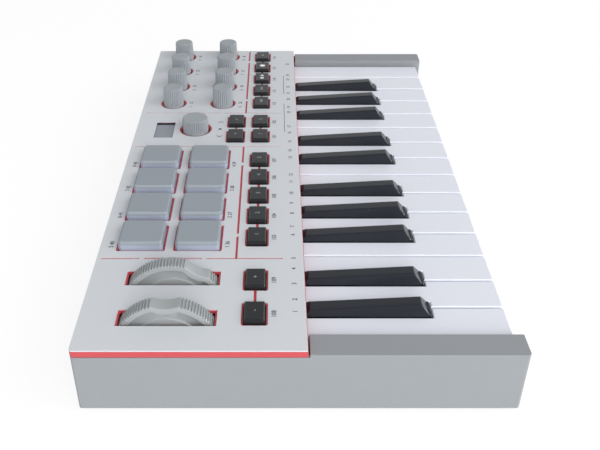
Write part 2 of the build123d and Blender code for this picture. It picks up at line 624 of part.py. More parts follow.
def line_strips(width, z0, z1):
    """The decorative lines as strips of one width."""
    half, line_y = width / 2, deep(LONG_LINE_ROW)
    xs = [place * KEY_PITCH for place in CROSS_LINES]
    lines = [(x, x, deep(y0), deep(y1)) for x in xs for y0, y1 in CROSS_LINE_ROWS]
    lines += [(x0 * KEY_PITCH, x1 * KEY_PITCH, line_y, line_y) for x0, x1 in LONG_LINES]
    lines.append((LAST_LINE_START * KEY_PITCH, HALF_LENGTH - FRAME_BAND, line_y, line_y))
    return [block(x0 - half, x1 + half, y0 - half, y1 + half, z0, z1) for x0, x1, y0, y1 in lines]


def links(z0, z1):
    """Short slots that join the neighbouring holes of a button group."""
    half_hole, half_link = BUTTON_HOLE_LENGTH / 2, LINK_WIDTH / 2
    return [
        block(x0 + half_hole - half_link, x1 - half_hole + half_link, y - half_link, y + half_link, z0, z1)
        for xs, y in BUTTON_GROUPS.values()
        for x0, x1 in zip(xs, xs[1:])
    ]


def deck_plate(front_y, z0, z1):
    """A plate over the deck with the case's rounded back corners."""
    plate = block(-HALF_LENGTH, HALF_LENGTH, front_y, HALF_DEPTH, z0, z1)
    return fillet(plate.edges().filter_by(Axis.Z).group_by(Axis.Y)[-1], CORNER_RADIUS)


def top_panel():
    """Thin grey face plate."""
    plate = deck_plate(DECK_FRONT_Y, FRAME_TOP_Z, PANEL_Z)
    plate = chamfer(plate.faces().sort_by(Axis.Z)[-1].edges(), PANEL_THICK / 3)
    over = PANEL_Z + 1
    cuts = deck_openings(FRAME_TOP_Z, over, 0) + [window_block(0, FRAME_TOP_Z, over)]
    return plate - cuts - line_strips(LINE_WIDTH, FRAME_TOP_Z, over) - links(FRAME_TOP_Z, over)


def window_block(grow, z0, z1):
    """The display window's shape, grown by so much all round."""
    half_x, half_y = WINDOW_LENGTH / 2 + grow, WINDOW_WIDTH / 2 + grow
    return block(WINDOW_X - half_x, WINDOW_X + half_x, WINDOW_Y - half_y, WINDOW_Y + half_y, z0, z1)


def post_places():
    """Screw posts that join the case and the frame."""
    side_x, side_y = INNER_X - POST_WALL_GAP, (FRONT_ROW_Y + KNOB_YS[0]) / 2
    back_y, mid_y = BACK_INNER_Y - POST_WALL_GAP, KEYBED_BACK_Y + POST_KEYBED_GAP + CASE_POST_DIAMETER / 2
    bay_x = BOARD_LEFT_X - POST_CLEARANCE - POST_DIAMETER / 2
    inner_x = SELECT_XS[-1] + CAP_LENGTH / 2 + BUTTON_FLANGE + POST_BUTTON_GAP + POST_DIAMETER / 2
    sides = [(sign * side_x, y) for sign in (-1, 1) for y in (side_y, back_y)]
    return sides + [(bay_x, mid_y), (inner_x, mid_y)] + [(place * KEY_PITCH, back_y) for place in BACK_POSTS]


def boss_places():
    """Bosses of the frame that the boards hang from."""
    octave_x = sum(OCTAVE_XS) / 2
    left_x = BOARD_LEFT_X + BOSS_SIZE / 2 + BOSS_EDGE_GAP
    between_y = sum(KNOB_YS) / 2
    between_xs = [place * KEY_PITCH for place in row(KNOB_FIRST - KNOB_STEP / 2, 2 * KNOB_STEP, 2)]
    pad_end_x = PAD_XS[-1] + PAD_LENGTH / 2 + BOSS_SIZE + BOSS_EDGE_GAP
    low_y = FRONT_ROW_Y + BUTTON_HOLE_WIDTH
    small = [(octave_x, FRONT_ROW_Y + d) for d in (-BOSS_SIZE, BOSS_SIZE)]
    main = [(left_x, low_y), (left_x, PAD_YS[-1]), (pad_end_x, PAD_YS[0]), (pad_end_x, PAD_YS[-1])]
    low = [((MODE_XS[2] + MODE_XS[3]) / 2, low_y), ((TRANSPORT_XS[1] + TRANSPORT_XS[2]) / 2, low_y)]
    return small + main + low + [(x, between_y) for x in between_xs]


def bearing_spans(x):
    """The two bearing walls of a wheel, left and right, as (x0, x1)."""
    near = WHEEL_WIDTH / 2 + BEARING_SIDE_GAP
    far = near + BEARING_WALL
    return [(x - far, x - near), (x + near, x + far)]


def frame():
    """Red deck frame: skin, outer band, locating lip, stop rib, posts and bosses."""
    body = deck_plate(FRAME_FRONT_Y, FRAME_BOTTOM_Z, FRAME_TOP_Z)
    body -= block(
        -HALF_LENGTH + FRAME_BAND, HALF_LENGTH - FRAME_BAND,
        FRAME_FRONT_Y + FRAME_BAND, HALF_DEPTH - FRAME_BAND, FRAME_BOTTOM_Z, SKIN_Z,
    )
    lip_x, lip_y = INNER_X - LIP_CLEARANCE, BACK_INNER_Y - LIP_CLEARANCE
    lip_z = FRAME_BOTTOM_Z - LIP_DEPTH
    lip = block(-lip_x, lip_x, DECK_FRONT_Y, lip_y, lip_z, SKIN_Z)
    lip_x, lip_y = lip_x - LIP_THICK, lip_y - LIP_THICK
    body += lip - block(-lip_x, lip_x, DECK_FRONT_Y, lip_y, lip_z, SKIN_Z)
    stop_y = DECK_FRONT_Y + UPSTOP_SETBACK
    body += block(-WELL_X, WELL_X, stop_y, stop_y + UPSTOP_WIDTH, STEM_TOP_Z + UPSTOP_GAP, SKIN_Z)
    body += [prism(x, y, POST_DIAMETER, SPLIT_Z, SKIN_Z) for x, y in post_places()]
    half = BOSS_SIZE / 2
    body += [block(x - half, x + half, y - half, y + half, BOARD_TOP_Z, SKIN_Z) for x, y in boss_places()]
    keeper, keeper_z = AXLE_DIAMETER / 2 - KEEPER_SIDE_GAP, WHEEL_Z + AXLE_DIAMETER / 2 + KEEPER_GAP
    y0, y1 = WHEEL_Y - keeper, WHEEL_Y + keeper
    for x in WHEEL_XS:
        body += [block(x0, x1, y0, y1, keeper_z, SKIN_Z) for x0, x1 in bearing_spans(x)]
    body -= deck_openings(SKIN_Z, FRAME_TOP_Z, 1)
    body -= [prism(x, y, SCREW_PILOT, SPLIT_Z, SPLIT_Z + SCREW_PILOT_DEPTH, 6) for x, y in post_places()]
    body -= window_block(WINDOW_OVERLAP + WINDOW_GAP, SKIN_Z, FRAME_TOP_Z)
    return body


def display_window():
    """Display module: a tinted window on its carrier, standing on the board."""
    top_z = FRAME_TOP_Z - WINDOW_SINK
    window = window_block(WINDOW_OVERLAP, top_z - WINDOW_THICK, top_z)
    window = chamfer(window.faces().sort_by(Axis.Z)[-1].edges(), WINDOW_EDGE)
    return window + window_block(0, BOARD_TOP_Z, top_z - WINDOW_THICK)


def pad_mat():
    """One rubber moulding: a sheet under the frame and the eight pads that stand on it."""
    margin = 2 * PAD_SHEET_MARGIN
    sheet_z = SKIN_Z - PAD_SHEET
    length, width = PAD_FIELD_LENGTH + margin, PAD_FIELD_WIDTH + margin
    mat = slab(PAD_MIDDLE_X, PAD_MIDDLE_Y, length, width, PAD_CORNER, sheet_z, SKIN_Z)
    pad = slab(0, 0, PAD_LENGTH, PAD_WIDTH, PAD_CORNER, SKIN_Z, PANEL_Z + PAD_RISE)
    pad = chamfer(pad.faces().sort_by(Axis.Z)[-1].edges(), PAD_EDGE)
    half = PAD_FOOT / 2
    foot = block(-half, half, -half, half, BOARD_TOP_Z + FILM_THICK, sheet_z)
    for x, y in PAD_PLACES:
        mat += Pos(x, y, 0) * pad
        mat += Pos(x, y, 0) * foot
    return mat


# ---------------------------------------------------------------- case
def bottom_case():
    """Tub with a hollow block at each end of the keys, a low front rail and the screw posts."""
    tub = block(-HALF_LENGTH, HALF_LENGTH, -HALF_DEPTH, HALF_DEPTH, BASE_Z, CHEEK_Z)
    tub = fillet(tub.edges().filter_by(Axis.Z), CORNER_RADIUS)
    tub = chamfer(tub.faces().sort_by(Axis.Z)[0].edges(), CASE_CHAMFER)
    over, inside = CHEEK_Z + 1, -HALF_DEPTH + WALL
    tub -= block(-HALF_LENGTH - 1, HALF_LENGTH + 1, CHEEK_END_Y, HALF_DEPTH + 1, RIM_Z, over)
    tub -= block(-INNER_X, INNER_X, CHEEK_END_Y, BACK_INNER_Y, FLOOR_Z, over)
    tub -= block(-WELL_X, WELL_X, inside, CHEEK_END_Y, FLOOR_Z, over)
    tub -= block(-WELL_X, WELL_X, -HALF_DEPTH - 1, inside, BASE_Z + RAIL_HEIGHT, over)
    for side in (-1, 1):
        x0, x1 = sorted((side * (WELL_X + WALL), side * INNER_X))
        tub -= block(x0, x1, inside, CHEEK_END_Y, FLOOR_Z, CHEEK_Z - WALL)
    well_z = SPLIT_Z - SCREW_SEAT
    for x, y in post_places():
        tub += prism(x, y, CASE_POST_DIAMETER, FLOOR_Z, SPLIT_Z)
        tub -= prism(x, y, SCREW_CLEARANCE_HOLE, well_z, SPLIT_Z)
        tub -= prism(x, y, SCREW_HEAD_WELL, BASE_Z, well_z, WELL_SIDES)
    for x in WHEEL_XS:
        for x0, x1 in bearing_spans(x):
            tub += bearing(x0, x1)
    length, width = FOOT_LENGTH + 2 * FOOT_POCKET_GAP, FOOT_WIDTH + 2 * FOOT_POCKET_GAP
    pocket_z = BASE_Z + FOOT_POCKET
    tub -= [slab(x, y, length, width, FOOT_CORNER, BASE_Z, pocket_z) for x, y in FOOT_PLACES]
    return tub - socket_openings()


def bearing(x0, x1):
    """Upright wall with an open-topped slot for a wheel's axle."""
    half, slot = BEARING_WIDTH / 2, AXLE_DIAMETER / 2 + AXLE_CLEARANCE
    wall = block(x0, x1, WHEEL_Y - half, WHEEL_Y + half, FLOOR_Z, WHEEL_Z + BEARING_RISE)
    return wall - block(x0, x1, WHEEL_Y - slot, WHEEL_Y + slot, WHEEL_Z - slot, WHEEL_Z + BEARING_RISE)


def along_y(x, z, diameter, y0, y1):
    """A cylinder along Y."""
    return Pos(x, (y0 + y1) / 2, z) * Rot(90, 0, 0) * Cylinder(diameter / 2, y1 - y0)


def socket_openings():
    """Where the sockets come through the back wall."""
    half_x, half_z = USB_WIDTH / 2 + NOSE_GAP, USB_HEIGHT / 2 + NOSE_GAP
    y0, y1 = BACK_INNER_Y, HALF_DEPTH
    return [
        along_y(SUSTAIN_X, SUSTAIN_Z, SUSTAIN_NOSE + 2 * NOSE_GAP, y0, y1),
        block(USB_X - half_x, USB_X + half_x, y0, y1, USB_Z - half_z, USB_Z + half_z),
    ]


def rubber_feet():
    """Rubber feet in the case's pockets."""
    foot = slab(0, 0, FOOT_LENGTH, FOOT_WIDTH, FOOT_CORNER, 0, BASE_Z + FOOT_POCKET)
    foot = chamfer(foot.faces().sort_by(Axis.Z)[0].edges(), FOOT_EDGE)
    return Compound(children=[Pos(x, y, 0) * foot for x, y in FOOT_PLACES])


# ---------------------------------------------------------------- boards
def sustain_jack():
    """Socket hung under the board: a box with a round nose through the back wall, bored from behind."""
    back, mouth = BACK_INNER_Y - NOSE_GAP, HALF_DEPTH - NOSE_GAP
    half = JACK_BODY / 2
    shape = block(SUSTAIN_X - half, SUSTAIN_X + half, back - JACK_DEPTH, back, SUSTAIN_Z - half, BOARD_Z)
    shape += along_y(SUSTAIN_X, SUSTAIN_Z, SUSTAIN_NOSE, back, mouth)
    return shape - along_y(SUSTAIN_X, SUSTAIN_Z, SUSTAIN_BORE, back - JACK_DEPTH + BORE_END, mouth)


def usb_socket():
    """Square metal socket with two cut corners in its mouth and the contact tongue inside."""
    mouth, half_x = HALF_DEPTH - NOSE_GAP, USB_WIDTH / 2
    shell = block(USB_X - half_x, USB_X + half_x, mouth - USB_DEPTH, mouth, USB_Z - USB_HEIGHT / 2, BOARD_Z)
    wide, high, cut = USB_MOUTH_WIDTH / 2, USB_MOUTH_HEIGHT / 2, USB_MOUTH_CUT
    right = [(wide, high), (wide, cut - high), (wide - cut, -high)]
    hole = outline(*right, *[(-x, z) for x, z in reversed(right)])
    plane = Plane(origin=(USB_X, mouth, USB_Z), x_dir=(1, 0, 0), z_dir=(0, -1, 0))
    shell -= extrude(plane * hole, USB_MOUTH_DEPTH, dir=(0, -1, 0))
    half_x, half_z, back = USB_TONGUE_WIDTH / 2, USB_TONGUE_HEIGHT / 2, mouth - USB_MOUTH_DEPTH
    tongue = block(-half_x, half_x, back, back + USB_TONGUE_DEPTH, -half_z, half_z)
    return shell + Pos(USB_X, 0, USB_Z) * tongue


def switch(x, y):
    """Tact switch with its actuator."""
    half, tip = SWITCH_SIZE / 2, ACTUATOR_SIZE / 2
    body = block(x - half, x + half, y - half, y + half, BOARD_TOP_Z, SWITCH_TOP_Z)
    return body + block(x - tip, x + tip, y - tip, y + tip, SWITCH_TOP_Z, ACTUATOR_Z)


def rotary_sensor(x, y):
    """Body under a knob, bored for the knob's shaft."""
    half = SENSOR_BODY / 2
    body = block(x - half, x + half, y - half, y + half, BOARD_TOP_Z, BOARD_TOP_Z + SENSOR_HEIGHT)
    bore = SHAFT_DIAMETER + 2 * BUSH_CLEARANCE
    return body - prism(x, y, bore, BOARD_TOP_Z + SENSOR_FLOOR, BOARD_TOP_Z + SENSOR_HEIGHT)


def wheel_sensor(x):
    """Sensor on the right-hand bearing wall of a wheel."""
    half, x0 = SENSOR_SIZE / 2, bearing_spans(x)[1][1]
    body = block(x0, x0 + SENSOR_THICK, WHEEL_Y - half, WHEEL_Y + half, WHEEL_Z - half, WHEEL_Z + half)
    bore = RegularPolygon(AXLE_DIAMETER / 2 + AXLE_CLEARANCE, 8, major_radius=False)
    return body - along_x(Pos(WHEEL_Y, WHEEL_Z) * bore, x0, x0 + SENSOR_THICK)


def main_board():
    """Boards with their switches, sensors, pad film and sockets."""
    board = block(BOARD_LEFT_X, BOARD_RIGHT_X, BOARD_FRONT_Y, BOARD_BACK_Y, BOARD_Z, BOARD_TOP_Z)
    tab_y = BACK_INNER_Y - LIP_CLEARANCE - LIP_THICK - POST_CLEARANCE
    tab_x0, tab_x1 = USB_X - TAB_MARGIN, SUSTAIN_X + TAB_MARGIN
    board += block(tab_x0, tab_x1, BOARD_BACK_Y, tab_y, BOARD_Z, BOARD_TOP_Z)
    half = POST_DIAMETER / 2 + POST_CLEARANCE
    board -= [block(x - half, x + half, y - half, y + half, BOARD_Z, BOARD_TOP_Z) for x, y in post_places()]
    half_x = (OCTAVE_XS[-1] - OCTAVE_XS[0] + BUTTON_HOLE_LENGTH) / 2 + SMALL_BOARD_MARGIN
    half_y = BUTTON_HOLE_WIDTH / 2 + SMALL_BOARD_MARGIN
    x = sum(OCTAVE_XS) / 2
    small = block(x - half_x, x + half_x, FRONT_ROW_Y - half_y, FRONT_ROW_Y + half_y, BOARD_Z, BOARD_TOP_Z)
    half_x, half_y = PAD_FIELD_LENGTH / 2, PAD_FIELD_WIDTH / 2
    film = block(
        PAD_MIDDLE_X - half_x, PAD_MIDDLE_X + half_x, PAD_MIDDLE_Y - half_y, PAD_MIDDLE_Y + half_y,
        BOARD_TOP_Z, BOARD_TOP_Z + FILM_THICK,
    )
    parts = [board, small, film, usb_socket(), sustain_jack()]
    parts += [switch(x, y) for _, x, y in BUTTON_PLACES]
    parts += [rotary_sensor(x, y) for x, y in KNOB_PLACES + [(ENCODER_X, ENCODER_Y)]]
    parts += [wheel_sensor(x) for x in WHEEL_XS]
    return Compound(children=parts)


# ---------------------------------------------------------------- controls
def button():
    """Cap with a retaining flange and a stem, centred on its own axis."""
    flange_z = SKIN_Z - BUTTON_PLAY
    height = PANEL_Z + BUTTON_RISE - flange_z
    cap = extrude(cut_corners(CAP_LENGTH, CAP_WIDTH, BUTTON_CORNER), height, taper=BUTTON_DRAFT)
    cap = chamfer(cap.faces().sort_by(Axis.Z)[-1].edges(), BUTTON_EDGE)
    half_x, half_y = CAP_LENGTH / 2 + BUTTON_FLANGE, CAP_WIDTH / 2 + BUTTON_FLANGE
    flange = block(-half_x, half_x, -half_y, half_y, flange_z - BUTTON_FLANGE_THICK, flange_z)
    half = BUTTON_STEM / 2
    stem = block(-half, half, -half, half, ACTUATOR_Z + BUTTON_TRAVEL + BUTTON_PLAY, flange_z)
    return Pos(0, 0, flange_z) * cap + flange + stem


def fluted(radius, flutes, z):
    """Level section of a knob: a ring of ribs with sloping sides."""
    step = 180 / flutes
    ring = [(radius - KNOB_FLUTE_DEPTH * (i % 2), step * i) for i in range(2 * flutes)]
    return Pos(0, 0, z) * outline(*[(r * cos(radians(a)), r * sin(radians(a))) for r, a in ring])


def knob(base, top, rise, flutes):
    """Fluted knob on its shaft, centred on its own axis."""
    bottom_z, top_z = SKIN_Z + KNOB_FOOT_GAP, PANEL_Z + rise
    levels = ((base / 2, bottom_z), (top / 2, top_z - KNOB_EDGE), (top / 2 - KNOB_EDGE, top_z))
    body = loft([fluted(radius, flutes, z) for radius, z in levels], ruled=True)
    shaft_z = BOARD_TOP_Z + SENSOR_FLOOR + SHAFT_END_GAP
    shaft = Pos(0, 0, shaft_z) * extrude(RegularPolygon(SHAFT_DIAMETER / 2, 12), bottom_z - shaft_z)
    return body + shaft


def wheel_face(rim):
    """Side view of a wheel in Y and Z, with a band of that width left off its rim and its notch."""
    notch_z = sqrt(WHEEL_RADIUS**2 - WHEEL_NOTCH_HALF**2) + sqrt(WHEEL_NOTCH_RADIUS**2 - WHEEL_NOTCH_HALF**2)
    far, lean = 2 * WHEEL_RADIUS, radians(WHEEL_SWEEP)
    end_y, end_z = far * sin(lean), far * cos(lean)
    below = outline((0, 0), (-end_y, end_z), (-far, -far), (far, -far), (end_y, end_z))
    return Circle(WHEEL_RADIUS - rim) - Pos(0, notch_z) * Circle(WHEEL_NOTCH_RADIUS + rim) - below


def wheel(notch):
    """Partial wheel on stub axles, dished on both sides; notch is the notch's angle towards the back."""
    half, web = WHEEL_WIDTH / 2, WHEEL_WEB / 2
    body = along_x(wheel_face(0), -half, half)
    dish, well = wheel_face(WHEEL_RIM), wheel_face(WHEEL_RADIUS - WHEEL_STEP_RADIUS)
    for face, depth in ((dish, web + WHEEL_STEP), (well, web)):
        body -= [along_x(face, depth, half), along_x(face, -half, -depth)]
    body += Rot(0, 90, 0) * Cylinder(WHEEL_HUB, WHEEL_WIDTH)
    mouth = KNURL_WIDTH / 2
    over = WHEEL_RADIUS + 1
    right = [(mouth, over), (mouth, WHEEL_RADIUS)]
    groove = outline(*right, (0, WHEEL_RADIUS - KNURL_DEPTH), *[(-y, z) for y, z in reversed(right)])
    groove = along_x(groove, -half, half)
    angles = row(KNURL_FIRST, KNURL_STEP, KNURL_COUNT)
    body -= [Rot(sign * angle, 0, 0) * groove for angle in angles for sign in (-1, 1)]
    end = half + BEARING_SIDE_GAP + BEARING_WALL + AXLE_END
    body += Rot(0, 90, 0) * Cylinder(AXLE_DIAMETER / 2, 2 * end)
    return Rot(-notch, 0, 0) * body


def main():
    os.makedirs("parts", exist_ok=True)
    write(bottom_case(), "bottom_case")
    write(frame(), "deck_frame")
    write(top_panel(), "top_panel")
    write(display_window(), "display_window")
    write(pad_mat(), "pad_mat")
    write(keybed(), "keybed")
    write(main_board(), "main_board")
    write(rubber_feet(), "rubber_feet")
    for i in range(WHITE_COUNT):
        write(white_key(i), white_name(i))
    for i, _, name in black_joints():
        write(black_key(BLACK_XS[i]), name)
    for name, x, y in BUTTON_PLACES:
        write(Pos(x, y, 0) * button(), name)
    small = knob(KNOB_BASE_DIAMETER, KNOB_TOP_DIAMETER, KNOB_RISE, KNOB_FLUTES)
    for i, (x, y) in enumerate(KNOB_PLACES):
        write(Pos(x, y, 0) * small, f"knob_{i + 1}")
    encoder = knob(ENCODER_DIAMETER, ENCODER_TOP_DIAMETER, ENCODER_RISE, ENCODER_FLUTES)
    write(Pos(ENCODER_X, ENCODER_Y, 0) * encoder, "encoder_knob")
    for name, x, notch in zip(("pitch_wheel", "modulation_wheel"), WHEEL_XS, (0, -MOD_REST)):
        write(Pos(x, WHEEL_Y, WHEEL_Z) * wheel(notch), name)


main()
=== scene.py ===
"""Finishes, printed marks, small fasteners, floor, light and view for a compact keyboard controller.

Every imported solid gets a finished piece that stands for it.  Most are copies with smooth shading or
eased edges.  The knobs, the wheels and the black keys' heads are built here at the same sizes with
finer meshes.  Metres, in the part's own frame: +X along the keys towards the high notes, +Y from the
player to the back, +Z up.
"""

from __future__ import annotations

import json
import logging
import math
from collections.abc import Callable, Sequence
from dataclasses import dataclass, field
from enum import Enum

import bmesh
import bpy
from mathutils import Matrix, Vector

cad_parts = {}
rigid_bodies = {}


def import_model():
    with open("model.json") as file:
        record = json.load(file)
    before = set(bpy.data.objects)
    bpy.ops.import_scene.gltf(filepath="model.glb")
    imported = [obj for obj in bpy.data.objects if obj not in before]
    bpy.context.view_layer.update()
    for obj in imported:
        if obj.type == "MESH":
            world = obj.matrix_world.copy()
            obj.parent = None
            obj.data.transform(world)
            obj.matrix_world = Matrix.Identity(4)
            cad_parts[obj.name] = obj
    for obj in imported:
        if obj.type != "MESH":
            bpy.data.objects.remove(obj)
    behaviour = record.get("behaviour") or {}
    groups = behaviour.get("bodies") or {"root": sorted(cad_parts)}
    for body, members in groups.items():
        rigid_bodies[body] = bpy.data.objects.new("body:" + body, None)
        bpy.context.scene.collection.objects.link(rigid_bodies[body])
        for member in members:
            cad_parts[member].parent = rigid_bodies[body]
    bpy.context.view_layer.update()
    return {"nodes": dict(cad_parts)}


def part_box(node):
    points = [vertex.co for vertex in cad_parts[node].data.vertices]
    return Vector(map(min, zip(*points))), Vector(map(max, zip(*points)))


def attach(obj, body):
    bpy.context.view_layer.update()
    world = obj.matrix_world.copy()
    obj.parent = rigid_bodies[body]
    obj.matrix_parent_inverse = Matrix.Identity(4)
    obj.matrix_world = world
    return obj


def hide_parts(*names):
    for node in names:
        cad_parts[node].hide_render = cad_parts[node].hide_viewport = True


MM = 0.001
LOG = logging.getLogger("keyboard")
Colour = tuple[float, float, float, float]
Point = tuple[float, float]
Ring = list[bmesh.types.BMVert]

FLOAT, COLOUR, VECTOR = "NodeSocketFloat", "NodeSocketColor", "NodeSocketVector"
GEOMETRY, OBJECT, MATERIAL = "NodeSocketGeometry", "NodeSocketObject", "NodeSocketMaterial"

PANEL_Z = 35.3 * MM
PAD_SKIRT_Z = PANEL_Z + 2.3 * MM
MERGE_DISTANCE = 0.0004 * MM
FLAT_ANGLE = 0.4
EASE_SEGMENTS = 3
BROAD_FACE_WEIGHT = 60
BAR_WIDTH = 0.18
KNOB_COUNT = 8
WHITE = (1.0, 1.0, 1.0, 1.0)


def tone(red: int, green: int, blue: int) -> Colour:
    """A display colour as the linear colour that shaders use.

    Args:
        red: Red from 0 to 255.
        green: Green from 0 to 255.
        blue: Blue from 0 to 255.

    Returns:
        The linear colour with full alpha.
    """

    def linear(value: int) -> float:
        share = value / 255
        return share / 12.92 if share <= 0.04045 else ((share + 0.055) / 1.055) ** 2.4

    return (linear(red), linear(green), linear(blue), 1.0)


# ------------------------------------------------------------------ node trees
@dataclass
class Tree:
    """A shader or geometry tree that is being written."""

    tree: bpy.types.NodeTree

    def add(self, kind: str, inputs: dict[str | int, object] | None = None, **settings: object) -> bpy.types.Node:
        """A new node with its settings and inputs.

        Args:
            kind: Blender's name for the node.
            inputs: Values or outputs by the input's name or index.
            **settings: Attributes of the node.

        Returns:
            The node.
        """
        node = self.tree.nodes.new(kind)
        for name, value in settings.items():
            setattr(node, name, value)
        for name, value in (inputs or {}).items():
            self.feed(node.inputs[name], value)
        return node

    def feed(self, socket: bpy.types.NodeSocket, value: object) -> None:
        """Link an output to a socket, or set the socket's own value.

        Args:
            socket: The input to fill.
            value: Another node's output, or a plain value.
        """
        if isinstance(value, bpy.types.NodeSocket):
            self.tree.links.new(value, socket)
        else:
            socket.default_value = value

    def group(self, shared: bpy.types.NodeTree, inputs: dict[str, object]) -> bpy.types.NodeOutputs:
        """The outputs of a shared group that is given its inputs."""
        return self.add("ShaderNodeGroup", inputs, node_tree=shared).outputs

    def math(self, operation: str, *values: object) -> bpy.types.NodeSocket:
        """A Math node's result, from its operation and its inputs in order."""
        return self.add("ShaderNodeMath", dict(enumerate(values)), operation=operation).outputs[0]

    def ramp(self, value: object, low: object, high: object) -> bpy.types.NodeSocket:
        """How far a value has gone from low to high, with soft ends.

        Args:
            value: The value to read.
            low: Where the result is 0.
            high: Where the result is 1.

        Returns:
            The result, from 0 to 1.
        """
        inputs = {"Value": value, "From Min": low, "From Max": high}
        return self.add("ShaderNodeMapRange", inputs, interpolation_type="SMOOTHSTEP").outputs[0]

    def noise(self, vector: object, scale: object, detail: float) -> bpy.types.NodeSocket:
        """A Noise Texture's value.

        Args:
            vector: Where the noise is read.
            scale: Cells per metre.
            detail: Octaves on top of the first.

        Returns:
            The noise, from 0 to 1.
        """
        return self.add("ShaderNodeTexNoise", {"Vector": vector, "Scale": scale, "Detail": detail}).outputs[0]

    def blend(self, share: object, first: object, second: object) -> bpy.types.NodeSocket:
        """A mix of two colours.

        Args:
            share: 0 for the first colour, 1 for the second.
            first: The first colour.
            second: The second colour.

        Returns:
            The mixed colour.
        """
        return self.add("ShaderNodeMix", {0: share, 6: first, 7: second}, data_type="RGBA").outputs[2]


def shader_group(name: str, inputs: dict[str, str], outputs: dict[str, str]) -> tuple[Tree, bpy.types.Node]:
    """An empty shader group with its named sockets.

    Args:
        name: The group's name.
        inputs: Socket types by input name.
        outputs: Socket types by output name.

    Returns:
        The tree, and its Group Input node.
    """
    group = bpy.data.node_groups.new(name, "ShaderNodeTree")
    for label, kind in inputs.items():
        group.interface.new_socket(label, in_out="INPUT", socket_type=kind)
    for label, kind in outputs.items():
        group.interface.new_socket(label, in_out="OUTPUT", socket_type=kind)
    tree = Tree(group)
    return tree, tree.add("NodeGroupInput")


def close_group(tree: Tree, **results: object) -> bpy.types.NodeTree:
    """Wire a group's results to its outputs.

    Args:
        tree: The group being written.
        **results: Values by output name, with spaces written as underscores.

    Returns:
        The finished group.
    """
    tree.add("NodeGroupOutput", {name.replace("_", " "): value for name, value in results.items()})
    return tree.tree


def start_geometry(name: str, inputs: dict[str, str]) -> tuple[Tree, bpy.types.NodeOutputs]:
    """An empty geometry tree with its named inputs and a material input.

    Args:
        name: The tree's name.
        inputs: Socket types by input name, besides the geometry and the material.

    Returns:
        The tree, and the outputs of its Group Input node.
    """
    group = bpy.data.node_groups.new(name, "GeometryNodeTree")
    for label, kind in {"Geometry": GEOMETRY, **inputs, "Material": MATERIAL}.items():
        group.interface.new_socket(label, in_out="INPUT", socket_type=kind)
    group.interface.new_socket("Geometry", in_out="OUTPUT", socket_type=GEOMETRY)
    tree = Tree(group)
    return tree, tree.add("NodeGroupInput").outputs


def end_geometry(tree: Tree, geometry: object, material: object) -> bpy.types.NodeTree:
    """Make a tree's result plain mesh, paint it and put it out.

    Args:
        tree: The tree being written.
        geometry: Its result.
        material: Its material input.

    Returns:
        The finished tree.
    """
    real = tree.add("GeometryNodeRealizeInstances", {0: geometry})
    paint = tree.add("GeometryNodeSetMaterial", {"Geometry": real.outputs[0], "Material": material})
    tree.add("NodeGroupOutput", {0: paint.outputs[0]})
    return tree.tree


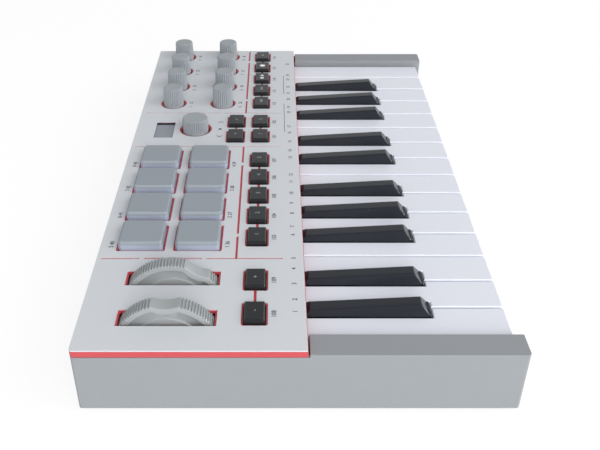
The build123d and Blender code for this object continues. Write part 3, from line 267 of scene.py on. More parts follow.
@dataclass
class Effects:
    """Shader groups that several finishes share, each made when it is first asked for."""

    fine_ratio: float = 2.7
    coarse_share: float = 0.65
    broad_scale: float = 24.0
    broad_band: Point = (0.3, 0.7)
    small_scale: float = 190.0
    streak_stretch: tuple[float, float, float] = (1.0, 0.02, 1.0)
    made: dict[str, bpy.types.NodeTree] = field(default_factory=dict)

    def get(self, name: str) -> bpy.types.NodeTree:
        """A shared group by name.

        Args:
            name: One of grain, handling, streaks and levels.

        Returns:
            The group.
        """
        if name not in self.made:
            self.made[name] = getattr(self, name)()
        return self.made[name]

    def grain(self) -> bpy.types.NodeTree:
        """The fine spark-eroded texture of moulded plastic."""
        tree, start = shader_group("moulded_grain", {"Vector": VECTOR, "Scale": FLOAT}, {"Height": FLOAT})
        where, scale = start.outputs[:2]
        coarse = tree.noise(where, scale, detail=1.0)
        fine = tree.noise(where, tree.math("MULTIPLY", scale, self.fine_ratio), detail=1.0)
        shares = ((coarse, self.coarse_share), (fine, 1.0 - self.coarse_share))
        height = tree.math("ADD", *(tree.math("MULTIPLY", value, share) for value, share in shares))
        return close_group(tree, Height=height)

    def handling(self) -> bpy.types.NodeTree:
        """Slow changes of colour and gloss where hands have been."""
        inputs = {"Vector": VECTOR, "Color": COLOUR, "Dark Color": COLOUR, "Amount": FLOAT, "Roughness": FLOAT}
        tree, start = shader_group("handling", inputs, {"Color": COLOUR, "Roughness": FLOAT})
        where, light, dark, amount, rough = start.outputs[:5]
        broad = tree.ramp(tree.noise(where, self.broad_scale, detail=3.0), *self.broad_band)
        small = tree.noise(where, self.small_scale, detail=4.0)
        share = tree.math("MULTIPLY", tree.math("MULTIPLY", broad, small), amount)
        swing = tree.math("MULTIPLY", tree.math("SUBTRACT", small, 0.5), amount)
        return close_group(tree, Color=tree.blend(share, light, dark), Roughness=tree.math("ADD", rough, swing))

    def streaks(self) -> bpy.types.NodeTree:
        """Fine polishing lines that run along the keys."""
        tree, start = shader_group("polishing_lines", {"Vector": VECTOR, "Scale": FLOAT}, {"Height": FLOAT})
        where, scale = start.outputs[:2]
        stretch = tree.add("ShaderNodeMapping", {"Vector": where, "Scale": self.streak_stretch})
        return close_group(tree, Height=tree.noise(stretch.outputs[0], scale, detail=2.0))

    def levels(self) -> bpy.types.NodeTree:
        """One colour below a height and another above it, with a dark crease between."""
        inputs = {
            "Vector": VECTOR, "Level": FLOAT, "Softness": FLOAT,
            "Upper Color": COLOUR, "Lower Color": COLOUR, "Crease Color": COLOUR, "Crease": FLOAT,
        }
        tree, start = shader_group("two_levels", inputs, {"Color": COLOUR})
        where, level, soft, upper, lower, dark, crease = start.outputs[:7]
        height = tree.add("ShaderNodeSeparateXYZ", {0: where}).outputs["Z"]
        above = tree.ramp(height, level, tree.math("ADD", level, soft))
        away = tree.math("ABSOLUTE", tree.math("SUBTRACT", height, level))
        line = tree.math("SUBTRACT", 1.0, tree.ramp(away, 0.0, crease))
        body = tree.blend(above, lower, upper)
        return close_group(tree, Color=tree.blend(line, body, dark))


# ------------------------------------------------------------------ finishes
@dataclass(frozen=True)
class Moulded:
    """Moulded plastic or rubber: a colour, a fine grain and slight handling."""

    colour: Colour
    roughness: float
    grain_scale: float = 2400.0
    grain_depth: float = 0.00003
    mottle: float = 0.12
    darker: float = 0.82
    specular: float = 0.5
    metallic: float = 0.0
    coat: float = 0.0
    streaks: float = 0.0

    def material(self, name: str, effects: Effects) -> bpy.types.Material:
        """The finish as a material.

        Args:
            name: The material's name.
            effects: The shared shader groups.

        Returns:
            The material.
        """
        material, tree, shader, where = start_material(name)
        inputs = {
            "Vector": where, "Color": self.base(tree, where, effects), "Amount": self.mottle,
            "Dark Color": dimmed(self.colour, self.darker), "Roughness": self.roughness,
        }
        shade = tree.group(effects.get("handling"), inputs)
        texture = tree.group(
            effects.get("streaks" if self.streaks else "grain"),
            {"Vector": where, "Scale": self.streaks or self.grain_scale},
        )
        bump = tree.add("ShaderNodeBump", {"Distance": self.grain_depth, "Height": texture["Height"]})
        for label, value in (
            ("Base Color", shade["Color"]), ("Roughness", shade["Roughness"]), ("Normal", bump.outputs[0]),
            ("Specular IOR Level", self.specular), ("Metallic", self.metallic), ("Coat Weight", self.coat),
        ):
            tree.feed(shader.inputs[label], value)
        return material

    def base(self, tree: Tree, where: object, effects: Effects) -> object:
        """The colour before handling.

        Args:
            tree: The material's tree.
            where: Object coordinates.
            effects: The shared shader groups.

        Returns:
            A colour, or the output of a node.
        """
        return self.colour


@dataclass(frozen=True)
class TwoLevel(Moulded):
    """A moulding whose lower part has another colour, such as a pad on its clear skirt."""

    lower: Colour = WHITE
    crease: Colour = (0.0, 0.0, 0.0, 1.0)
    level: float = 0.0
    softness: float = 0.05 * MM
    crease_width: float = 0.22 * MM

    def base(self, tree: Tree, where: object, effects: Effects) -> object:
        """The colour by height.

        Args:
            tree: The material's tree.
            where: Object coordinates.
            effects: The shared shader groups.

        Returns:
            The output of the height group.
        """
        inputs = {
            "Vector": where, "Level": self.level, "Softness": self.softness, "Crease": self.crease_width,
            "Upper Color": self.colour, "Lower Color": self.lower, "Crease Color": self.crease,
        }
        return tree.group(effects.get("levels"), inputs)["Color"]


def start_material(name: str) -> tuple[bpy.types.Material, Tree, bpy.types.Node, bpy.types.NodeSocket]:
    """A material with an empty Principled shader.

    Args:
        name: The material's name.

    Returns:
        The material, its tree, the shader node and the Object coordinates.
    """
    material = bpy.data.materials.new(name)
    material.use_nodes = True
    tree = Tree(material.node_tree)
    shader = material.node_tree.nodes["Principled BSDF"]
    return material, tree, shader, tree.add("ShaderNodeTexCoord").outputs["Object"]


def dimmed(colour: Colour, share: float) -> Colour:
    """A colour made darker."""
    return (*(channel * share for channel in colour[:3]), 1.0)


class Finish(Enum):
    """Every finish on the keyboard."""

    CASE = Moulded(tone(146, 150, 154), 0.52, 1900.0, 0.00005)
    FRAME = Moulded(tone(196, 73, 80), 0.45, 1900.0, 0.00003)
    PANEL = Moulded(tone(209, 213, 218), 0.5, 2100.0, 0.00004, 0.08, 0.9)
    WHITE_KEY = Moulded(tone(229, 232, 242), 0.32, 900.0, 0.00001, 0.05, 0.93, coat=0.2)
    BLACK_KEY = Moulded(tone(39, 42, 49), 0.26, 1500.0, 0.000006, 0.06, 0.8, 0.5, streaks=1400.0)
    CAP = Moulded(tone(33, 36, 39), 0.36, 2600.0, 0.00004, 0.1, 0.8, 0.5)
    KNOB = Moulded(tone(155, 161, 166), 0.48, 2400.0, 0.00003)
    WHEEL = Moulded(tone(160, 165, 167), 0.42, 2200.0, 0.00003)
    PAD = TwoLevel(
        tone(149, 157, 165), 0.62, 2800.0, 0.00003, 0.06, 0.94, 0.35,
        lower=tone(165, 174, 193), crease=tone(164, 171, 181), level=PAD_SKIRT_Z,
    )
    WINDOW = Moulded(tone(132, 140, 151), 0.25, 600.0, 0.000004, 0.04, 0.9, coat=0.5)
    BOARD = Moulded(tone(22, 74, 48), 0.4, 700.0, 0.00003, 0.5, 0.6)
    PART = Moulded(tone(30, 30, 32), 0.45, 1500.0, 0.00002)
    METAL = Moulded(tone(196, 198, 202), 0.28, 900.0, 0.000006, 0.1, 0.8, metallic=1.0)
    TRAY = Moulded(tone(34, 34, 36), 0.55, 1500.0, 0.00004)
    FELT = Moulded(tone(96, 30, 34), 0.95, 3200.0, 0.0002, 0.3, 0.6, 0.1)
    DOME = Moulded(tone(176, 180, 182), 0.6, 1200.0, 0.00001)
    FOOT = Moulded(tone(36, 36, 37), 0.8, 1500.0, 0.00006)
    INK = Moulded(tone(44, 47, 50), 0.6, 900.0, 0.000001, 0.05)
    PALE_INK = Moulded(tone(150, 154, 157), 0.6, 900.0, 0.000001, 0.05)
    WHITE_INK = Moulded(tone(236, 240, 244), 0.5, 900.0, 0.000001, 0.03, 0.95)


@dataclass
class Library:
    """Materials by finish, each made once."""

    effects: Effects = field(default_factory=Effects)
    made: dict[Finish, bpy.types.Material] = field(default_factory=dict)

    def get(self, finish: Finish) -> bpy.types.Material:
        """The material of a finish.

        Args:
            finish: The finish.

        Returns:
            Its material.
        """
        if finish not in self.made:
            self.made[finish] = finish.value.material(finish.name.lower(), self.effects)
        return self.made[finish]


# ------------------------------------------------------------------ meshes
def place(mesh: bpy.types.Mesh, name: str) -> bpy.types.Object:
    """A mesh as an object in the scene, at the origin.

    Args:
        mesh: The mesh.
        name: The object's name.

    Returns:
        The object.
    """
    piece = bpy.data.objects.new(name, mesh)
    bpy.context.scene.collection.objects.link(piece)
    return piece


def shaped(form: bmesh.types.BMesh, name: str) -> bpy.types.Object:
    """A finished form as an object in the scene.

    Args:
        form: The form, which isn't needed afterwards.
        name: The object's name.

    Returns:
        The object.
    """
    mesh = bpy.data.meshes.new(name)
    form.to_mesh(mesh)
    form.free()
    return place(mesh, name)


def opened(piece: bpy.types.Object) -> bmesh.types.BMesh:
    """A piece's mesh as a form that can be worked on.

    Args:
        piece: The piece.

    Returns:
        The form.
    """
    form = bmesh.new()
    form.from_mesh(piece.data)
    return form


def closed(piece: bpy.types.Object, form: bmesh.types.BMesh) -> None:
    """Put a worked form back into its piece."""
    form.to_mesh(piece.data)
    form.free()


def skinned(form: bmesh.types.BMesh, rings: Sequence[Ring]) -> None:
    """Join rings of corners into a body with both ends closed.

    Args:
        form: The form that holds the rings.
        rings: The rings in order, with as many corners each.
    """
    for here, there in zip(rings, rings[1:]):
        for i, corner in enumerate(here):
            j = (i + 1) % len(here)
            form.faces.new((corner, here[j], there[j], there[i]))
    form.faces.new(list(reversed(rings[0])))
    form.faces.new(rings[-1])


def settle(piece: bpy.types.Object) -> bpy.types.Object:
    """Turn a piece's modifiers into plain mesh.

    Args:
        piece: The piece with its modifiers.

    Returns:
        The same piece with none.
    """
    view = bpy.context.evaluated_depsgraph_get()
    mesh = bpy.data.meshes.new_from_object(piece.evaluated_get(view), depsgraph=view)
    piece.modifiers.clear()
    piece.data = mesh
    return piece


def soften(piece: bpy.types.Object, ease: float = 0.0, angle: float = 30.0) -> bpy.types.Object:
    """Shade a piece smooth between its sharp edges, and ease the edges that are marked for it.

    Args:
        piece: The piece.
        ease: Width of the easing, or 0 where no edge is marked.
        angle: Edges sharper than this stay edges, in degrees.

    Returns:
        The piece with its finished mesh.
    """
    if ease:
        bevel = piece.modifiers.new("ease", "BEVEL")
        bevel.width = ease
        bevel.segments = EASE_SEGMENTS
        bevel.limit_method = "WEIGHT"
        bevel.use_clamp_overlap = False
        bevel.miter_outer = "MITER_ARC"
    else:
        piece.data.shade_smooth()
        piece.data.set_sharp_from_angle(angle=math.radians(angle))
    weighted = piece.modifiers.new("weighted", "WEIGHTED_NORMAL")
    weighted.keep_sharp = True
    weighted.weight = BROAD_FACE_WEIGHT
    return settle(piece)


def mark_edges(form: bmesh.types.BMesh, shortest: float, lowest: float = -1.0, angle: float = 24.0) -> None:
    """Mark the edges of a mesh to be eased, and leave the other sharp ones sharp.

    Args:
        form: The mesh.
        shortest: Shorter edges are left.
        lowest: Edges lower than this are left.
        angle: Flatter edges are left, in degrees.
    """
    layer = form.edges.layers.float.get("bevel_weight_edge") or form.edges.layers.float.new("bevel_weight_edge")
    for face in form.faces:
        face.smooth = True
    for edge in form.edges:
        sharp = len(edge.link_faces) == 2 and edge.calc_face_angle() > math.radians(angle)
        seen = min(corner.co.z for corner in edge.verts) > lowest and edge.calc_length() > shortest
        edge[layer] = 1.0 if sharp and seen else 0.0
        edge.smooth = not sharp or seen


def sliced(form: bmesh.types.BMesh, spot: Sequence[float], outward: Sequence[float]) -> None:
    """Cut off everything beyond a plane and close the cut.

    Args:
        form: The mesh.
        spot: A point of the plane.
        outward: The side to cut off.
    """
    geometry = [*form.verts, *form.edges, *form.faces]
    cut = bmesh.ops.bisect_plane(form, geom=geometry, plane_co=spot, plane_no=outward, clear_outer=True)
    rim = [part for part in cut["geom_cut"] if isinstance(part, bmesh.types.BMEdge)]
    bmesh.ops.holes_fill(form, edges=rim)


def solid_copy(node: str, name: str, flatten: bool = False) -> bpy.types.Object:
    """A joined-up copy of a CAD node.

    Args:
        node: The node's name.
        name: The new piece's name.
        flatten: Whether flat areas become single faces.

    Returns:
        The copy.
    """
    mesh = bpy.data.objects[node].data.copy()
    mesh.name = name
    piece = place(mesh, name)
    form = opened(piece)
    bmesh.ops.remove_doubles(form, verts=form.verts, dist=MERGE_DISTANCE)
    if flatten:
        limit = math.radians(FLAT_ANGLE)
        bmesh.ops.dissolve_limit(form, angle_limit=limit, verts=form.verts, edges=form.edges)
    closed(piece, form)
    mesh.materials.clear()
    if mesh.has_custom_normals:
        mesh.attributes.remove(mesh.attributes["custom_normal"])
    return piece


def islands(form: bmesh.types.BMesh) -> list[list[bmesh.types.BMFace]]:
    """The separate shells of a mesh.

    Args:
        form: The mesh.

    Returns:
        The faces of each shell.
    """
    left = set(form.faces)
    shells = []
    while left:
        shell, front = [], [left.pop()]
        while front:
            face = front.pop()
            shell.append(face)
            for edge in face.edges:
                for other in edge.link_faces:
                    if other in left:
                        left.discard(other)
                        front.append(other)
        shells.append(shell)
    return shells


def dress(piece: bpy.types.Object, library: Library, *finishes: Finish) -> None:
    """Give a piece its finishes.

    Args:
        piece: The piece.
        library: The materials.
        *finishes: Its finishes, in the order of its faces' indices.
    """
    piece.data.materials.clear()
    for finish in finishes:
        piece.data.materials.append(library.get(finish))


def stand_for(piece: bpy.types.Object, node: str, body: str) -> None:
    """Seat a finished piece in place of a CAD node.

    Args:
        piece: The piece.
        node: The node that it stands for.
        body: The body that it moves with.
    """
    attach(piece, body)
    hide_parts(node)
    LOG.info("%s stands for %s", piece.name, node)


# ------------------------------------------------------------------ grips
def grip_tree() -> bpy.types.NodeTree:
    """Geometry Nodes that press evenly spaced flutes into the side of a turned body.

    Returns:
        The tree.  Its body stands on the Z axis.
    """
    labels = ("Flutes", "Depth", "Sharpness", "Low", "High", "Fade")
    tree, start = start_geometry("fluted_grip", dict.fromkeys(labels, FLOAT))
    spot = tree.add("GeometryNodeInputPosition").outputs[0]
    x, y, z = tree.add("ShaderNodeSeparateXYZ", {0: spot}).outputs
    turn = tree.math("MULTIPLY", tree.math("ARCTAN2", y, x), tree.math("MULTIPLY", start["Flutes"], 0.5))
    groove = tree.math("POWER", tree.math("ABSOLUTE", tree.math("COSINE", turn)), start["Sharpness"])
    above = tree.ramp(z, start["Low"], tree.math("ADD", start["Low"], start["Fade"]))
    below = tree.ramp(z, start["High"], tree.math("SUBTRACT", start["High"], start["Fade"]))
    share = tree.math("MULTIPLY", groove, tree.math("MULTIPLY", above, below))
    push = tree.math("MULTIPLY", share, tree.math("MULTIPLY", start["Depth"], -1.0))
    flat = tree.add("ShaderNodeCombineXYZ", {0: x, 1: y})
    outward = tree.add("ShaderNodeVectorMath", {0: flat.outputs[0]}, operation="NORMALIZE")
    offset = tree.add("ShaderNodeVectorMath", {0: outward.outputs[0], "Scale": push}, operation="SCALE")
    move = tree.add("GeometryNodeSetPosition", {"Geometry": start["Geometry"], "Offset": offset.outputs[0]})
    return end_geometry(tree, move.outputs[0], start["Material"])


def run_tree(piece: bpy.types.Object, tree: bpy.types.NodeTree, **inputs: object) -> bpy.types.Object:
    """Run a geometry tree on a piece and keep its result as plain mesh.

    Args:
        piece: The piece.
        tree: The tree.
        **inputs: The tree's inputs by name, with spaces written as underscores.

    Returns:
        The piece.
    """
    modifier = piece.modifiers.new(tree.name, "NODES")
    modifier.node_group = tree
    for item in tree.interface.items_tree:
        key = item.name.replace(" ", "_")
        if item.in_out == "INPUT" and key in inputs:
            modifier[item.identifier] = inputs[key]
    return settle(piece)


def turned(name: str, profile: Sequence[Point], columns: int) -> bpy.types.Object:
    """A body turned about the Z axis, closed at both ends.

    Args:
        name: The piece's name.
        profile: Radius and height of each ring, from the bottom up.
        columns: Faces round the body.

    Returns:
        The piece.
    """
    form = bmesh.new()
    turns = [2 * math.pi * i / columns for i in range(columns)]
    rings = [[form.verts.new((r * math.cos(a), r * math.sin(a), z)) for a in turns] for r, z in profile]
    skinned(form, rings)
    return shaped(form, name)


@dataclass
class Knobs:
    """The fluted knobs and the larger encoder knob.

    Pairs of diameters are at the bottom and at the top.  Pairs of bands are the smooth bands above the
    panel and under the top.
    """

    library: Library
    diameters: Point = (12.9 * MM, 12.0 * MM)
    flutes: int = 28
    bands: Point = (0.5 * MM, 0.4 * MM)
    encoder_diameters: Point = (15.5 * MM, 15.2 * MM)
    encoder_flutes: int = 42
    encoder_bands: Point = (0.6 * MM, 0.4 * MM)
    depth: float = 0.75 * MM
    sharpness: float = 2.5
    fade: float = 0.4 * MM
    columns_per_flute: int = 10
    rows: int = 34
    top_edge: float = 0.7 * MM
    edge_angles: tuple[int, ...] = (15, 30, 45, 60, 75, 90)
    dish: float = 0.12 * MM
    dish_rings: tuple[float, ...] = (0.8, 0.5, 0.2)
    foot_depth: float = 1.8 * MM
    shaft_radius: float = 2.45 * MM
    shaft_columns: int = 32
    tree: bpy.types.NodeTree | None = None

    def build(self) -> None:
        """Build every knob in place of its node."""
        self.tree = grip_tree()
        for index in range(KNOB_COUNT):
            self.knob(f"knob_{index + 1}", self.diameters, self.flutes, self.bands)
        self.knob("encoder_knob", self.encoder_diameters, self.encoder_flutes, self.encoder_bands)

    def knob(self, node: str, diameters: Point, flutes: int, bands: Point) -> None:
        """One knob and its shaft.

        Args:
            node: The CAD node.
            diameters: At the bottom and at the top.
            flutes: Flutes round the grip.
            bands: Smooth bands above the panel and under the top.
        """
        lowest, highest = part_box(node)
        centre = (lowest + highest) / 2
        foot_z = PANEL_Z - self.foot_depth
        body = turned(f"{node}_body", self.profile(diameters, foot_z, highest.z), flutes * self.columns_per_flute)
        run_tree(
            body, self.tree, Flutes=float(flutes), Depth=self.depth, Sharpness=self.sharpness,
            Low=PANEL_Z + bands[0] - self.fade, High=highest.z - bands[1] + self.fade, Fade=self.fade,
            Material=self.library.get(Finish.KNOB),
        )
        shift = Matrix.Translation((centre.x, centre.y, 0.0))
        body.data.transform(shift)
        soften(body, angle=40.0)
        ends = [(self.shaft_radius, lowest.z), (self.shaft_radius, foot_z + MM)]
        shaft = turned(f"{node}_shaft", ends, self.shaft_columns)
        shaft.data.transform(shift)
        soften(shaft)
        dress(shaft, self.library, Finish.METAL)
        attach(shaft, node)
        stand_for(body, node, node)

    def profile(self, diameters: Point, foot: float, crown: float) -> list[Point]:
        """Rings of a knob, close together where flutes begin and end.

        Args:
            diameters: At the bottom and at the top.
            foot: Height of the bottom.
            crown: Height of the top.

        Returns:
            Radius and height of each ring.
        """
        base, top = diameters[0] / 2, diameters[1] / 2
        rise = crown - self.top_edge - foot
        steps = range(self.rows + 1)
        side = [(base + (top - base) * i / self.rows, foot + rise * i / self.rows) for i in steps]
        turns = [math.radians(a) for a in self.edge_angles]
        edge = [
            (top - self.top_edge * (1 - math.cos(a)), crown - self.top_edge * (1 - math.sin(a))) for a in turns
        ]
        dish = [(top * share, crown - self.dish * (1 - share)) for share in self.dish_rings]
        return side + edge + dish


# ------------------------------------------------------------------ wheels
@dataclass
class Wheels:
    """The pitch and modulation wheels.

    The roundings are corners of the section in millimetres: along the axle and outwards, from where the
    rim, the web and the step begin.
    """

    library: Library
    radius: float = 23.3 * MM
    width: float = 6.9 * MM
    rim: float = 3.2 * MM
    web: float = 2.9 * MM
    step_radius: float = 15.1 * MM
    step: float = 0.7 * MM
    hub: float = 5.0 * MM
    sweep: float = 95.0
    notch_radius: float = 13.5 * MM
    notch_half: float = 6.0 * MM
    notch_ease: float = 0.5 * MM
    ease_lift: float = 0.02
    edge: float = 0.45 * MM
    edge_angles: tuple[int, ...] = (0, 30, 60, 90)
    rim_rounding: tuple[Point, ...] = ((0.0, 0.3), (-0.25, 0.0))
    web_rounding: tuple[Point, ...] = ((0.15, -0.1), (0.0, -0.3))
    step_rounding: tuple[Point, ...] = ((0.0, 0.45), (0.6, 0.0))
    groove_first: float = 17.5
    groove_step: float = 3.6
    groove_count: int = 20
    groove_depth: float = 0.7 * MM
    groove_edge: float = 0.75
    groove_flank: float = 0.35
    axle: float = 4.0 * MM
    axis_y: float = 56.4 * MM
    rise: float = 9.6 * MM
    modulation_rest: float = 30.5
    samples_per_degree: int = 4
    hub_columns: int = 48

    def build(self) -> None:
        """Build both wheels in place of their nodes."""
        self.wheel("pitch_wheel", 0.0)
        self.wheel("modulation_wheel", self.modulation_rest)

    def contour(self, angle: float) -> float:
        """Radius of the rim without its grooves.

        Args:
            angle: From the middle of the finger notch, in radians.

        Returns:
            The radius, eased where the notch meets the rim.
        """
        reach = math.sqrt(self.radius**2 - self.notch_half**2) + math.sqrt(self.notch_radius**2 - self.notch_half**2)
        inside = self.notch_radius**2 - (reach * math.sin(angle)) ** 2
        if inside <= 0:
            return self.radius
        gap = reach * math.cos(angle) - math.sqrt(inside) - self.radius
        return self.radius + (gap - math.hypot(gap, self.notch_ease)) / 2 + self.notch_ease * self.ease_lift

    def groove(self, angle: float) -> float:
        """Depth of the finger grooves.

        Args:
            angle: From the middle of the finger notch, in radians.

        Returns:
            The depth.
        """
        turn = abs(math.degrees(angle)) - self.groove_first
        index = round(turn / self.groove_step)
        if not 0 <= index < self.groove_count:
            return 0.0
        share = abs(turn / self.groove_step - index) * 2
        return self.groove_depth * min(max((self.groove_edge - share) / self.groove_flank, 0.0), 1.0)

    def section(self, angle: float) -> list[Point]:
        """Outline of the wheel's section, as offsets along the axle and radii.

        Args:
            angle: From the middle of the finger notch, in radians.

        Returns:
            One side from the tread to the hub, then the other side back.
        """
        half, rim = self.width / 2, self.contour(angle)
        tread = rim - self.groove(angle)
        turns = [math.radians(a) for a in self.edge_angles]
        side = [(0.0, tread)]
        side += [
            (half - self.edge * (1 - math.sin(a)), tread - self.edge * (1 - math.cos(a)) * rim / tread) for a in turns
        ]
        inner = rim - self.rim
        dish = self.web / 2 + self.step
        for across, radius, rounding in (
            (half, inner, self.rim_rounding), (dish, inner, self.web_rounding),
            (dish, self.step_radius, self.step_rounding),
        ):
            side += [(across + x * MM, radius + r * MM) for x, r in rounding]
        side.append((side[-1][0], self.hub - MM))
        return side + [(-x, r) for x, r in reversed(side[1:])]

    def wheel(self, node: str, rest: float) -> None:
        """One wheel with its hub and axle.

        Args:
            node: The CAD node.
            rest: How far towards the player the notch rests, in degrees.
        """
        lowest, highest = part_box(node)
        count = int(2 * self.sweep * self.samples_per_degree)
        form = bmesh.new()
        rings = []
        for i in range(count + 1):
            angle = math.radians(-self.sweep + 2 * self.sweep * i / count)
            rings.append([
                form.verts.new((x, -r * math.sin(angle), r * math.cos(angle))) for x, r in self.section(angle)
            ])
        skinned(form, rings)
        bmesh.ops.recalc_face_normals(form, faces=form.faces)
        for radius, half in ((self.hub, self.width / 2), (self.axle / 2, (highest.x - lowest.x) / 2)):
            bmesh.ops.create_cone(
                form, cap_ends=True, segments=self.hub_columns, radius1=radius, radius2=radius, depth=2 * half,
                matrix=Matrix.Rotation(math.pi / 2, 4, "Y"),
            )
        piece = shaped(form, f"{node}_body")
        axis = Vector(((lowest.x + highest.x) / 2, self.axis_y, PANEL_Z + self.rise - self.radius))
        piece.data.transform(Matrix.Translation(axis) @ Matrix.Rotation(math.radians(rest), 4, "X"))
        soften(piece, angle=38.0)
        dress(piece, self.library, Finish.WHEEL)
        stand_for(piece, node, node)


# ------------------------------------------------------------------ keys, caps and pads
@dataclass
class BlackHead:
    """What shows of a black key: leaning sides, a bevelled top, a sloped front with a foot."""

    half_width: float = 4.85 * MM
    level: float = 29.5 * MM
    bury: float = 0.1 * MM
    front: float = -58.1 * MM
    crest: float = -53.6 * MM
    foot: float = 1.2 * MM
    foot_rise: float = 1.0 * MM
    deck: float = -3.0 * MM
    tail: float = 2.2 * MM
    tail_rise: float = 0.5 * MM
    rise_front: float = 5.3 * MM
    rise_back: float = 2.1 * MM
    half_crest: float = 2.65 * MM
    half_back: float = 2.95 * MM
    bevel_crest: float = 0.85 * MM
    bevel_back: float = 0.35 * MM
    lap: float = 3.6 * MM
    stations: int = 9

    def ring(self, form: bmesh.types.BMesh, middle: float, share: float) -> Ring:
        """The section at one place.

        Args:
            form: The mesh to add to.
            middle: The key's middle along X.
            share: The place, from 0 at the foot to 1 at the tail.

        Returns:
            The section's corners.
        """
        y = self.front + (self.tail - self.front) * share
        half = self.half_crest + (self.half_back - self.half_crest) * share
        bevel = self.bevel_crest + (self.bevel_back - self.bevel_crest) * share
        slope = (self.rise_front - self.rise_back) / (self.deck - self.crest)
        top = self.level + self.rise_back + slope * (self.deck - y)
        side = [
            (self.half_width, self.level - self.bury), (self.half_width, self.level),
            (half + bevel, top - bevel), (half, top),
        ]
        corners = side + [(-x, z) for x, z in reversed(side)]
        return [form.verts.new((middle + x, y, z)) for x, z in corners]

    def whole(self, middle: float) -> bmesh.types.BMesh:
        """The head before its ends are cut.

        Args:
            middle: The key's middle along X.

        Returns:
            The mesh.
        """
        form = bmesh.new()
        skinned(form, [self.ring(form, middle, i / self.stations) for i in range(self.stations + 1)])
        bmesh.ops.recalc_face_normals(form, faces=form.faces)
        return form

    def parts(self, middle: float) -> list[bmesh.types.BMesh]:
        """The head, its foot and its tail, each closed.

        Args:
            middle: The key's middle along X.

        Returns:
            The meshes.
        """
        head, foot, tail = self.whole(middle), self.whole(middle), self.whole(middle)
        foot_y, foot_z = self.front + self.foot, self.level + self.foot_rise
        run, rise = self.crest - foot_y, self.level + self.rise_front - foot_z
        sliced(head, (middle, foot_y, foot_z), (0.0, -rise, run))
        tail_z = self.level + self.tail_rise
        drop = self.rise_back - self.tail_rise
        sliced(head, (middle, self.deck, tail_z), (0.0, drop, self.rise_back))
        sliced(foot, (middle, 0.0, foot_z), (0.0, 0.0, 1.0))
        sliced(foot, (middle, foot_y + self.foot, 0.0), (0.0, 1.0, 0.0))
        sliced(tail, (middle, 0.0, tail_z), (0.0, 0.0, 1.0))
        sliced(tail, (middle, self.deck - self.lap, 0.0), (0.0, -1.0, 0.0))
        return [head, foot, tail]


@dataclass
class Keys:
    """White and black keys."""

    library: Library
    head: BlackHead = field(default_factory=BlackHead)
    black_ease: float = 0.4 * MM
    shortest: float = 0.5 * MM
    corner_growth: float = 0.85 * MM
    rim: float = 0.6 * MM
    corner_reach: float = 2.0 * MM

    def build(self, nodes: Sequence[str]) -> None:
        """Finish every key.

        Args:
            nodes: The names of the key nodes.
        """
        for node in nodes:
            raised = "sharp" in node
            piece = self.raised(node) if raised else self.flat(node)
            dress(piece, self.library, Finish.BLACK_KEY if raised else Finish.WHITE_KEY)
            stand_for(piece, node, node)

    def flat(self, node: str) -> bpy.types.Object:
        """A white key, whose front corners are cut back less than the solid's.

        Args:
            node: The CAD node.

        Returns:
            The piece.
        """
        low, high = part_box(node)
        piece = solid_copy(node, f"{node}_body")
        for vert in piece.data.vertices:
            spot = vert.co
            outward = 1.0 if spot.x > (low.x + high.x) / 2 else -1.0
            inset, ahead = min(spot.x - low.x, high.x - spot.x), spot.y - low.y
            if ahead < self.rim < inset < self.corner_reach:
                spot.x += outward * self.corner_growth
            elif inset < self.rim < ahead < self.corner_reach:
                spot.y -= self.corner_growth
        return soften(piece, angle=24.0)

    def raised(self, node: str) -> bpy.types.Object:
        """A black key: the solid's lower part with a finished head.

        Args:
            node: The CAD node.

        Returns:
            The piece.
        """
        low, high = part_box(node)
        piece = solid_copy(node, f"{node}_body")
        form = opened(piece)
        sliced(form, (0.0, 0.0, self.head.level - self.head.bury / 2), (0.0, 0.0, 1.0))
        for part in self.head.parts((low.x + high.x) / 2):
            mesh = bpy.data.meshes.new("part")
            part.to_mesh(mesh)
            part.free()
            form.from_mesh(mesh)
            bpy.data.meshes.remove(mesh)
        mark_edges(form, self.shortest, self.head.level - self.head.bury / 4)
        closed(piece, form)
        return soften(piece, self.black_ease)


@dataclass
class Caps:
    """The push button caps."""

    library: Library

    def build(self, nodes: Sequence[str]) -> None:
        """Finish every cap.

        Args:
            nodes: The names of the cap nodes.
        """
        for node in nodes:
            piece = soften(solid_copy(node, f"{node}_cap"))
            dress(piece, self.library, Finish.CAP)
            stand_for(piece, node, node)


# ------------------------------------------------------------------ fixed pieces
@dataclass
class Enclosure:
    """Case, frame, panel, pads, window and feet."""

    library: Library
    ease: float = 0.3 * MM
    shortest: float = 3.0 * MM
    marked_angle: float = 30.0

    def build(self) -> None:
        """Finish every fixed piece of one material."""
        for node, finish, slot, ease in (
            ("bottom_case", Finish.CASE, "case", self.ease),
            ("deck_frame", Finish.FRAME, "frame_red", 0.0),
            ("top_panel", Finish.PANEL, "panel", 0.0),
            ("pad_mat", Finish.PAD, "pad", 0.0),
            ("display_window", Finish.WINDOW, "display", 0.0),
            ("rubber_feet", Finish.FOOT, "foot", 0.0),
        ):
            piece = solid_copy(node, f"{node}_shell", flatten=ease > 0)
            if ease:
                form = opened(piece)
                mark_edges(form, self.shortest, angle=self.marked_angle)
                closed(piece, form)
            soften(piece, ease)
            dress(piece, self.library, finish)
            stand_for(piece, node, "chassis")


Rule = Callable[[Vector, Vector], int]


